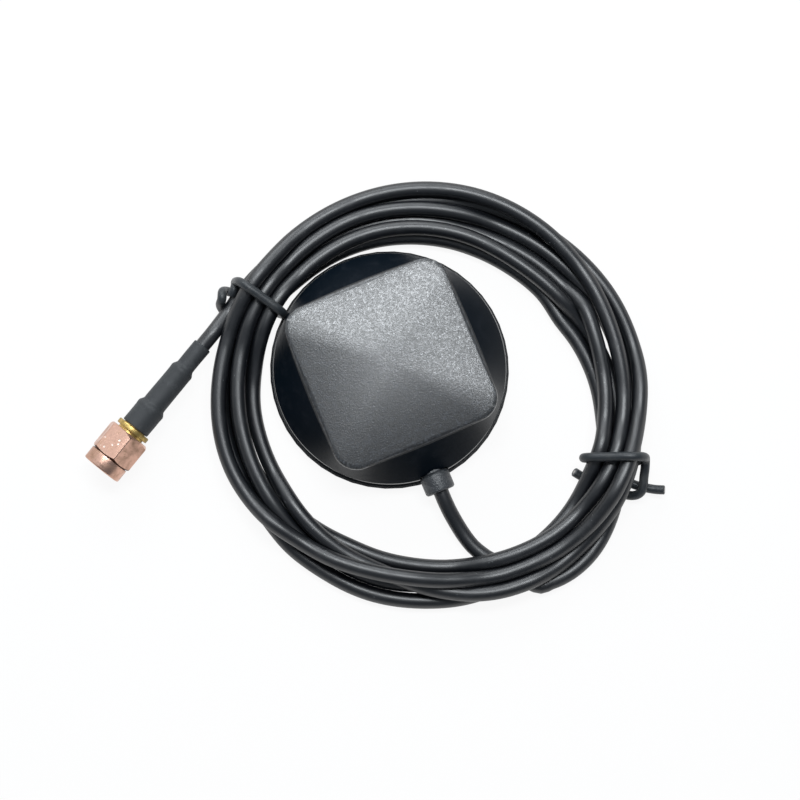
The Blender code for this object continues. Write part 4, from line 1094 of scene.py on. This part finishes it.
def cover_finishes():
    """The cover's plastic: grained on top, matt on the slopes with painted shade in their darker colour,
    and glossy along the rim.
    """
    colour = props().antenna_housing.colour
    dusty = (0.05, 0.055, 0.065)
    deep = tuple(c * 0.3 for c in colour)
    shoulder = moulded("shoulder grain", colour, dusty, 0.45, PLATEAU_GRAIN, 0.02 * MM, 0.35, 0.12)
    # The slopes take a darker, bluer colour than the housing colour: painted shade
    slope = moulded("slope plastic", (0.003, 0.006, 0.010), dusty, 0.42, 5000.0, 0.004 * MM, 0.05, 0.12)
    rim = moulded("rim polish", deep, dusty, 0.1, 5000.0, 0.001 * MM, 1.0, 0.1, 1.9)
    return [plateau_finish(colour), shoulder, slope, rim]


class ANTENNA_OT_mould_cover(bpy.types.Operator):
    """Mould the radome cover with its grained plateau, slopes and cable hole"""

    bl_idname = "antenna.mould_cover"
    bl_label = "Mould Cover"

    def execute(self, context):
        form = bmesh.new()
        outside = cover_rows(form, 0.0)
        inside = cover_rows(form, COVER_WALL)
        skin(form, [*outside[::-1], *inside], False)
        mesh = finish_form("radome", form, 50.0)
        cover = piece("radome", mesh, cover_finishes(), "root", ("radome_cover",))
        neck, seat = GROMMET_NECK + SEAT_GAP, GROMMET_RADIUS + SEAT_GAP
        ledge = GROMMET_SHOULDER - SEAT_GAP
        hole = [(neck, ledge - 4 * MM), (neck, ledge), (seat, ledge), (seat, COVER_RADIUS + 4 * MM)]
        cut(cover, turned("cutter", hole, 96, False, along_exit()))
        for face in cover.data.polygons:
            face.material_index = self.zone(*face.center)
        return {"FINISHED"}

    def zone(self, x, y, z):
        """The finish at a place on the cover: 0 plateau, 1 its shoulder, 2 slopes or 3 rim."""
        if z > PUCK_TOP - 2 * PLATEAU_DROP:
            for zone, edge in enumerate(GRAIN_EDGES):
                reach = square_reach(math.atan2(y, x), PLATEAU_HALF + edge, PLATEAU_CORNER + edge)
                if math.hypot(x, y) < reach:
                    return zone
        return 3 if abs(z - COVER_BOTTOM - RIM_WALL) < RIM_FILLET / 3 else 2


class ANTENNA_OT_fit_grommet(bpy.types.Operator):
    """Fit the grained round boss that the cable leaves through"""

    bl_idname = "antenna.fit_grommet"
    bl_label = "Fit Grommet"

    def execute(self, context):
        bore = context.scene.antenna_cable.diameter / 2 + 0.1 * MM
        points = [
            (bore, GROMMET_ROOT), (GROMMET_NECK, GROMMET_ROOT), (GROMMET_NECK, GROMMET_SHOULDER),
            (GROMMET_RADIUS, GROMMET_SHOULDER), (GROMMET_RADIUS, GROMMET_TIP), (bore, GROMMET_TIP),
        ]
        section = rounded(points, (0, 0, 0.1 * MM, 0.75 * MM, 0.55 * MM, 0.12 * MM))
        mesh = turned("grommet", section, 96, True, along_exit())
        finish = moulded(
            "grommet grain", (0.03, 0.034, 0.039), (0.16, 0.165, 0.17), 0.42, 2400.0, 0.05 * MM, 0.9, 0.6
        )
        piece("grommet", mesh, [finish], "root", ("cable_grommet",))
        return {"FINISHED"}


# Plug


def plug_frame(distance=0.0):
    """A frame on the plug's axis: Z along it, X up, its origin past the sleeve's start."""
    across = PLUG_ALONG.cross(UP)
    axes = Matrix((UP, across, PLUG_ALONG)).transposed().to_4x4()
    return Matrix.Translation(PLUG_START + PLUG_ALONG * distance) @ axes


def distance_on_plug(node):
    """Where a node starts and ends along the plug, from the sleeve's start."""
    places = [PLUG_ALONG.dot(frame["nodes"][node].matrix_world @ v.co - PLUG_START)
              for v in frame["nodes"][node].data.vertices]
    return min(places), max(places)


def smooth_step(value, low, high):
    """Rises smoothly from 0 at low to 1 at high."""
    t = np.clip((value - low) / (high - low), 0, 1)
    return t * t * (3 - 2 * t)


def sleeve_radius(s, angle):
    """The shrink sleeve's outer radius: steps over what it covers, and slight unevenness."""
    base = SLEEVE_RADII[0]
    for (step, before, after, hump), low, high in zip(SLEEVE_STEPS, SLEEVE_RADII, SLEEVE_RADII[1:]):
        base += (high - low) * smooth_step(s, step - before, step + after)
        base += hump * math.exp(-(((s - step - SLEEVE_HUMP_AFTER) / SLEEVE_HUMP_WIDTH) ** 2))
    wave = 0.030 * MM * math.sin(2 * angle + 0.4 + s * 260) + 0.018 * MM * math.sin(3 * angle - s * 700)
    lip = smooth_step(s, SLEEVE_LIP_LENGTH, 0.0)
    lip += smooth_step(s, SLEEVE_END - SLEEVE_LIP_LENGTH, SLEEVE_END)
    return base + wave - SLEEVE_LIP_DEPTH * lip


class ANTENNA_OT_shrink_sleeve(bpy.types.Operator):
    """Shrink the matt sleeve over the cable, the crimp and the plug's shoulder"""

    bl_idname = "antenna.shrink_sleeve"
    bl_label = "Shrink Sleeve"

    def execute(self, context):
        place = plug_frame()
        form = bmesh.new()
        stations = np.linspace(0, SLEEVE_END, SLEEVE_RINGS)
        rows = [ring(form, place, sleeve_radius, s, SLEEVE_SIDES) for s in stations]
        for s in stations[::-6]:
            inner = min(float(sleeve_radius(s, 0.0)), SLEEVE_RADII[2]) - SLEEVE_WALL
            rows.append(ring(form, place, inner, s, SLEEVE_SIDES))
        skin(form, rows, True)
        mesh = finish_form("sleeve", form, 50.0)
        colour = context.scene.antenna_plug.sleeve
        finish = moulded("shrink sleeve", colour, (0.12, 0.125, 0.13), 0.62, 4200.0, 0.008 * MM)
        piece("sleeve", mesh, [finish], "root", ("heat_shrink",))
        return {"FINISHED"}


class ANTENNA_OT_turn_body(bpy.types.Operator):
    """Turn the plug's brass body: flange, grooved barrel and thin contact end"""

    bl_idname = "antenna.turn_body"
    bl_label = "Turn Plug Body"

    def execute(self, context):
        colours = context.scene.antenna_plug
        start, end = distance_on_plug("connector_body")
        flange = SLEEVE_END + FLANGE_GAP
        flange_end = flange + FLANGE_LENGTH
        groove, groove_end = distance_on_plug("retaining_ring")
        groove, groove_end = groove - RING_CLEARANCE, groove_end + RING_CLEARANCE
        land = distance_on_plug("sealing_gasket")[0] - GASKET_CLEARANCE
        points = [
            (BODY_BORE, start), (STEM_RADIUS, start), (STEM_RADIUS, start + STEM_LENGTH),
            (BODY_RADIUS, start + STEM_LENGTH), (BODY_RADIUS, flange), (FLANGE_RADIUS, flange),
            (FLANGE_RADIUS, flange_end), (BARREL_RADIUS, flange_end), (BARREL_RADIUS, groove),
            (BODY_RADIUS, groove), (BODY_RADIUS, groove_end), (BARREL_RADIUS, groove_end),
            (BARREL_RADIUS, land), (CONTACT_RADIUS, land), (CONTACT_RADIUS, end), (CONTACT_BORE, end),
            (CONTACT_BORE, end - CONTACT_DEPTH), (BODY_BORE, end - CONTACT_DEPTH),
        ]
        radii = [BODY_ROUNDING.get(i, 0.0) for i in range(len(points))]
        mesh = turned("body", rounded(points, radii, 4), 96, True, plug_frame())
        finish = metal(
            "flange brass", colours.flange, (0.30, 0.22, 0.08), (0.13, 0.10, 0.04), 0.3, 0.75,
            0.11 * MM, tuple(PLUG_ALONG), 420.0,
        )
        piece("body", mesh, [finish], "root", ("connector_body",))
        return {"FINISHED"}


class ANTENNA_OT_mill_nut(bpy.types.Operator):
    """Mill the hex coupling nut with its chamfers, collar and threaded bore"""

    bl_idname = "antenna.mill_nut"
    bl_label = "Mill Coupling Nut"

    def execute(self, context):
        colours = context.scene.antenna_plug
        low, high = distance_on_plug("coupling_nut")
        place = plug_frame(low)
        length = high - low
        half = NUT_ACROSS_FLATS / 2
        corner = half / math.cos(math.pi / 6)
        form = bmesh.new()
        first = NUT_TURN + math.pi / 6
        rows = [ring(form, place, corner, height, 6, first) for height in (0.0, NUT_HEX_LENGTH)]
        skin(form, rows, False)
        upright = [edge for edge in form.edges if abs(edge.calc_length() - NUT_HEX_LENGTH) < 1e-6]
        bmesh.ops.bevel(
            form, geom=upright, offset=NUT_EDGE_ROUNDING, segments=3, affect="EDGES", profile=0.5
        )
        nut = linked("nut", finish_form("nut", form))
        wide = corner + 0.4 * MM
        rear, front = NUT_CHAMFERS
        rear_face, front_face = (half - inset for inset in NUT_FACE_INSETS)
        cones = [
            (rear_face, 0.0), (wide, (wide - rear_face) * math.tan(rear)),
            (wide, NUT_HEX_LENGTH - (wide - front_face) * math.tan(front)),
            (front_face, NUT_HEX_LENGTH),
        ]
        cut(nut, turned("cutter", cones, 180, False, place), "INTERSECT")
        neck = NUT_COLLAR_RADIUS - NUT_NECK_DEPTH
        groove = NUT_HEX_LENGTH + NUT_GROOVE
        root = NUT_HEX_LENGTH - NUT_OVERLAP
        points = [
            (1.0 * MM, root), (neck, root), (neck, groove), (NUT_COLLAR_RADIUS, groove),
            (NUT_COLLAR_RADIUS, length), (1.0 * MM, length),
        ]
        section = rounded(points, (0, 0, 0.05 * MM, 0.08 * MM, 0.3 * MM, 0))
        cut(nut, turned("cutter", section, 180, True, place), "UNION")
        mouth = NUT_BORE + NUT_LEAD_IN
        bore = [
            (NUT_REAR_BORE, -1 * MM), (NUT_REAR_BORE, NUT_REAR_WALL), (NUT_BORE, NUT_REAR_WALL),
            (NUT_BORE, length - NUT_LEAD_IN), (mouth, length), (mouth, length + MM),
        ]
        cut(nut, turned("cutter", bore, 120, False, place))
        dent = place @ Vector((half * math.cos(NUT_TURN), half * math.sin(NUT_TURN), DENT_HEIGHT))
        finish = metal(
            "tarnished copper", colours.nut, (0.46, 0.29, 0.21), (0.30, 0.19, 0.12), 0.3, 0.6,
            0.14 * MM, tuple(PLUG_ALONG), 330.0, (DENT_PAINTED_GLINT, dent, DENT_REACH),
        )
        # Dark copper for the groove under the collar's edge and the hex's forward faces: painted shade in
        # the slit
        painted_shade = metal(
            "groove grime", (0.16, 0.085, 0.06), (0.08, 0.045, 0.03), (0.03, 0.02, 0.012), 0.5, 0.5
        )
        nut.data.materials.clear()
        nut.data.materials.append(finish)
        nut.data.materials.append(painted_shade)
        # Faces in the groove and those facing forward into it take the painted shade
        close = 0.02 * MM
        inwards = place.inverted()
        for face in nut.data.polygons:
            middle = inwards @ face.center
            s, reach = middle.z, math.hypot(*middle.xy)
            in_groove = NUT_HEX_LENGTH - close < s < groove + close
            hidden = in_groove and reach < NUT_COLLAR_RADIUS - 3 * close
            sloping = face.normal.dot(PLUG_ALONG) > 0.5 and root < s < groove
            face.material_index = int((hidden or sloping) and reach > NUT_BORE + 0.1 * MM)
        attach(nut, "nut")
        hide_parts("coupling_nut")
        thread = self.thread(place, length)
        piece("nut_thread", thread, [finish], "nut")
        return {"FINISHED"}

    def thread(self, place, length):
        """The thread in the nut's bore, as a tube with a helical ridge inside."""
        form = bmesh.new()
        start, end = THREAD_START, length - THREAD_RUNOUT
        count = round((end - start) / (THREAD_PITCH / 8))
        stations = [start + (end - start) * i / count for i in range(count + 1)]
        rows = [ring(form, place, self.ridge, s, THREAD_SIDES) for s in stations]
        rows += [ring(form, place, NUT_BORE + 0.01 * MM, s, THREAD_SIDES) for s in (end, start)]
        skin(form, rows, True)
        return finish_form("nut_thread", form, 50.0)

    def ridge(self, s, angle):
        """The thread's inner radius at a height and angle."""
        phase = (s / THREAD_PITCH - angle / (2 * math.pi)) % 1.0
        depth = THREAD_DEPTH * min(1.0, max(0.0, 1.6 * (1 - abs(2 * phase - 1)) - 0.3))
        return NUT_BORE - 0.02 * MM - depth


# Pieces that keep the frame's own shape


def foam_finish():
    """Closed-cell foam: packed round cells with soft walls."""
    finish = Finish("foam", 0.95)
    cells = finish.cells(finish.coords["Object"], 2600.0, "SMOOTH_F1")
    wear = finish.effect("wear", Scale=200.0, Dust=0.8)
    dark, pale = rgb((0.008, 0.008, 0.009)), rgb((0.035, 0.035, 0.037))
    tone = finish.mix(finish.spread(cells, 0.1, 0.5), dark, pale)
    finish.put("Base Color", finish.lay(tone, (0.2, 0.2, 0.19), wear["Specks"], 0.6))
    finish.bump(cells, 0.12 * MM)
    return finish.material


def board_finish():
    """Green solder mask over glass weave, with copper ground showing faintly beneath."""
    finish = Finish("solder mask", 0.35)
    place = finish.coords["Object"]
    parts = finish.add("ShaderNodeSeparateXYZ", {0: place}).outputs
    warp, weft = (finish.math("SINE", finish.math("MULTIPLY", part, 9000.0)) for part in parts[:2])
    weave = finish.math("MULTIPLY", warp, weft)
    ground = finish.spread(finish.noise(place, 240.0, 0.0, 0.5), 0.48, 0.5)
    tone = finish.mix(ground, rgb((0.008, 0.09, 0.03)), rgb((0.02, 0.2, 0.07)))
    threads = finish.spread(weave, 0.2, 1.0, 0.0, 0.2)
    finish.put("Base Color", finish.mix(threads, tone, rgb((0.06, 0.3, 0.12))))
    wear = finish.effect("wear", Scale=400.0, Dust=0.3)
    finish.put("Roughness", finish.math("MULTIPLY_ADD", wear["Scuffs"], 0.2, 0.3))
    finish.bump(finish.math("MULTIPLY_ADD", weave, 0.2, ground), 0.02 * MM)
    return finish.material


def ceramic_finish():
    """Fired ceramic: fine pale grain with darker specks."""
    finish = Finish("fired ceramic", 0.6)
    grain = finish.effect("grain", Scale=3500.0, Unevenness=0.7)
    wear = finish.effect("wear", Scale=700.0, Dust=1.0)
    tone = finish.mix(grain["Shade"], rgb((0.55, 0.45, 0.3)), rgb((0.74, 0.64, 0.48)))
    finish.put("Base Color", finish.mix(wear["Specks"], tone, rgb((0.2, 0.15, 0.1))))
    finish.bump(grain["Height"], 0.03 * MM)
    return finish.material


def extruded(name, colour, shade, roughness):
    """Extruded plastic or rubber: long faint streaks and dust."""
    finish = Finish(name, roughness)
    streaks = finish.effect("drawn", Across=3000.0, Along=3000.0)
    wear = finish.effect("wear", Scale=500.0, Dust=0.5)
    tone = finish.mix(streaks["Shade"], rgb(shade), rgb(colour))
    finish.put("Base Color", finish.lay(tone, shade, wear["Specks"], 0.3))
    finish.put("Roughness", finish.math("MULTIPLY_ADD", wear["Scuffs"], 0.15, roughness))
    finish.bump(streaks["Height"], 0.02 * MM)
    return finish.material


def node_finishes():
    """A finish for each slot of the nodes that no piece replaces."""
    along = tuple(PLUG_ALONG)
    dark = (0.08, 0.07, 0.05)
    return {
        "base_cover": moulded(
            "base plastic", (0.008, 0.009, 0.011), (0.07, 0.075, 0.08), 0.45, 3000.0, 0.025 * MM
        ),
        "foot_pad": foam_finish(),
        "patch_tape": foam_finish(),
        "seal_cord": extruded("seal rubber", (0.012, 0.012, 0.013), (0.03, 0.03, 0.03), 0.6),
        "screw": metal("plated steel", (0.62, 0.61, 0.6), (0.4, 0.4, 0.38), dark, 0.3, 0.35, 0.2 * MM),
        "circuit_board": board_finish(),
        "patch_ceramic": ceramic_finish(),
        "patch_electrode": metal("fired silver", (0.85, 0.84, 0.8), (0.66, 0.63, 0.56), dark, 0.32, 0.3),
        "band_filter": metal("filter lid", (0.8, 0.78, 0.72), (0.6, 0.58, 0.5), dark, 0.3, 0.3),
        "feed_pin": metal("solder", (0.72, 0.72, 0.73), (0.5, 0.5, 0.5), dark, 0.28, 0.45),
        "shield_can": metal("tinplate", (0.7, 0.7, 0.69), (0.5, 0.5, 0.48), dark, 0.34, 0.35),
        "amplifier_chip": moulded(
            "chip resin", (0.012, 0.012, 0.013), (0.05, 0.05, 0.05), 0.5, 6000.0, 0.015 * MM
        ),
        "magnet": metal("nickel plate", (0.7, 0.68, 0.63), (0.52, 0.5, 0.45), dark, 0.2, 0.3),
        "inner_cable": extruded("inner jacket", (0.006, 0.007, 0.009), (0.02, 0.02, 0.022), 0.38),
        "inner_core": extruded("core plastic", (0.85, 0.84, 0.79), (0.7, 0.68, 0.62), 0.5),
        "cable_core": extruded("plug core plastic", (0.85, 0.84, 0.79), (0.7, 0.68, 0.62), 0.5),
        "crimp_ferrule": metal(
            "ferrule brass", (0.75, 0.58, 0.26), (0.45, 0.34, 0.14), dark, 0.3, 0.5, 0.3 * MM, along
        ),
        "retaining_ring": metal(
            "spring bronze", (0.62, 0.45, 0.28), (0.4, 0.28, 0.16), dark, 0.3, 0.4, 0.1 * MM, along
        ),
        "sealing_gasket": extruded("gasket silicone", (0.42, 0.08, 0.05), (0.3, 0.06, 0.04), 0.55),
        "insulator": extruded("insulator plastic", (0.88, 0.88, 0.86), (0.78, 0.78, 0.75), 0.42),
        "centre_pin": metal(
            "pin gold", (0.95, 0.68, 0.25), (0.75, 0.5, 0.18), dark, 0.16, 0.2, 0.08 * MM, along
        ),
    }


class ANTENNA_OT_finish_fittings(bpy.types.Operator):
    """Finish the base, the receiver and the plug's inner pieces that keep their plain shape"""

    bl_idname = "antenna.finish_fittings"
    bl_label = "Finish Fittings"

    def execute(self, context):
        finishes = node_finishes()
        for name, node in frame["nodes"].items():
            if name in REPLACED:
                continue
            key = name if name in finishes else name.split("_")[0]
            for slot in node.material_slots:
                slot.material = finishes[key]
        return {"FINISHED"}


# Nodes that a piece of this file stands for
REPLACED = (
    "radome_cover", "cable_grommet", "heat_shrink", "connector_body", "coupling_nut",
    "cable_lead", "cable_coil", "cable_tail", "tie_left", "tie_right",
)


def floor_finish():
    """White paper that stays white to the camera and in reflections, and keeps the shadow."""
    finish = Finish("paper", 0.9)
    colour = props().antenna_stage.floor
    grain = finish.effect("grain", Scale=900.0, Unevenness=0.5)
    tone = finish.mix(grain["Shade"], rgb(tuple(c * 0.985 for c in colour)), rgb(colour))
    finish.put("Base Color", tone)
    finish.put("Specular IOR Level", 0.0)
    path = finish.add("ShaderNodeLightPath").outputs
    seen = finish.math("ADD", path["Is Camera Ray"], path["Is Glossy Ray"])
    seen = finish.math("ADD", seen, path["Is Transmission Ray"], clamp=True)
    glow = finish.add("ShaderNodeEmission", {"Color": rgb((1.0, 1.0, 1.0)), "Strength": 1.0}).outputs[0]
    share = finish.math("MULTIPLY", seen, FLOOR_WHITENESS)
    blend = finish.add("ShaderNodeMixShader", {0: share, 1: finish.shader.outputs[0], 2: glow}).outputs[0]
    ending = finish.tree.nodes["Material Output"]
    finish.tree.links.new(blend, ending.inputs["Surface"])
    return finish.material


class ANTENNA_OT_set_stage(bpy.types.Operator):
    """Set the floor, the lights and the camera"""

    bl_idname = "antenna.set_stage"
    bl_label = "Set Stage"

    def execute(self, context):
        right = Vector((math.cos(PICTURE_TURN), math.sin(PICTURE_TURN), 0))
        top = UP.cross(right)
        self.place_camera(context.scene, right, top)
        self.light_world(context.scene)
        self.lay_floor()
        self.hang_lamps(context.scene.antenna_stage.light, right, top)
        return {"FINISHED"}

    def place_camera(self, scene, right, top):
        """The camera where the picture was taken from."""
        back = -right * math.sin(CAMERA_SIDE) - top * math.sin(CAMERA_TILT)
        back += UP * math.sqrt(1 - back.length_squared)
        rise = (top - back * top.dot(back)).normalized()
        target = right * CAMERA_TARGET[0] + top * CAMERA_TARGET[1]
        data = bpy.data.cameras.new("camera")
        data.sensor_fit = "HORIZONTAL"
        data.sensor_width = SENSOR_WIDTH
        data.lens = CAMERA_LENS
        data.clip_start = 0.01
        camera = linked("camera", data)
        axes = Matrix((rise.cross(back), rise, back)).transposed().to_4x4()
        camera.matrix_world = Matrix.Translation(target + back * CAMERA_DISTANCE) @ axes
        scene.camera = camera
        scene.view_settings.view_transform = "Standard"

    def light_world(self, scene):
        """Even light from all round."""
        world = bpy.data.worlds.new("studio")
        scene.world = world
        world.use_nodes = True
        background = world.node_tree.nodes["Background"].inputs
        background["Color"].default_value = rgb(SKY)
        background["Strength"].default_value = 1.0

    def lay_floor(self):
        """A white disc with a wall round it."""
        form = bmesh.new()
        bmesh.ops.create_circle(form, cap_ends=True, segments=96, radius=BACKDROP_RADIUS)
        wall = bmesh.ops.extrude_edge_only(form, edges=form.edges[:])["geom"]
        upper = [part for part in wall if isinstance(part, bmesh.types.BMVert)]
        bmesh.ops.translate(form, verts=upper, vec=(0, 0, BACKDROP_HEIGHT))
        bmesh.ops.translate(form, verts=form.verts, vec=(0, 0, -FLOOR_GAP))
        mesh = bpy.data.meshes.new("floor")
        form.to_mesh(mesh)
        form.free()
        mesh.materials.append(floor_finish())
        linked("floor", mesh)

    def hang_lamps(self, level, right, top):
        """The soft lamps, each facing the puck's middle."""
        for name, away, size, glow in LAMPS:
            lamp = bpy.data.lights.new(name, "AREA")
            lamp.shape = "RECTANGLE"
            lamp.size, lamp.size_y = size
            lamp.energy = glow * level * math.pi * size[0] * size[1]
            lamp.color = LAMP_COLOUR
            place = right * away[0] + top * away[1] + UP * away[2]
            turn = place.to_track_quat("Z", "Y").to_matrix().to_4x4()
            linked(name, lamp).matrix_world = Matrix.Translation(place) @ turn


class ANTENNA_PT_dresser(bpy.types.Panel):
    """Colours, sizes and operators of the round antenna"""

    bl_idname = "ANTENNA_PT_dresser"
    bl_label = "Round Antenna"
    bl_space_type = "VIEW_3D"
    bl_region_type = "UI"
    bl_category = "Antenna"

    def draw(self, context):
        layout = self.layout
        groups = (("Cable", "antenna_cable"), ("Housing", "antenna_housing"),
                  ("Plug", "antenna_plug"), ("Stage", "antenna_stage"))
        for title, attribute in groups:
            settings = getattr(context.scene, attribute)
            box = layout.box()
            box.label(text=title)
            for key in settings.__annotations__:
                box.prop(settings, key)
        for operator in OPERATORS:
            layout.operator(operator.bl_idname)


OPERATORS = (
    ANTENNA_OT_shrink_sleeve,
    ANTENNA_OT_turn_body,
    ANTENNA_OT_mill_nut,
    ANTENNA_OT_twist_ties,
    ANTENNA_OT_wind_cable,
    ANTENNA_OT_mould_cover,
    ANTENNA_OT_fit_grommet,
    ANTENNA_OT_finish_fittings,
    ANTENNA_OT_set_stage,
)
CLASSES = (
    CableSettings,
    HousingSettings,
    PlugSettings,
    StageSettings,
    *OPERATORS,
    ANTENNA_PT_dresser,
)


def register():
    for cls in CLASSES:
        bpy.utils.register_class(cls)
    bpy.types.Scene.antenna_cable = PointerProperty(type=CableSettings)
    bpy.types.Scene.antenna_housing = PointerProperty(type=HousingSettings)
    bpy.types.Scene.antenna_plug = PointerProperty(type=PlugSettings)
    bpy.types.Scene.antenna_stage = PointerProperty(type=StageSettings)


def unregister():
    del bpy.types.Scene.antenna_cable
    del bpy.types.Scene.antenna_housing
    del bpy.types.Scene.antenna_plug
    del bpy.types.Scene.antenna_stage
    for cls in reversed(CLASSES):
        bpy.utils.unregister_class(cls)


def main():
    register()
    bpy.ops.antenna.shrink_sleeve()
    bpy.ops.antenna.turn_body()
    bpy.ops.antenna.mill_nut()
    bpy.ops.antenna.twist_ties()
    bpy.ops.antenna.wind_cable()
    bpy.ops.antenna.mould_cover()
    bpy.ops.antenna.fit_grommet()
    bpy.ops.antenna.finish_fittings()
    bpy.ops.antenna.set_stage()


if __name__ == "__main__":
    main()
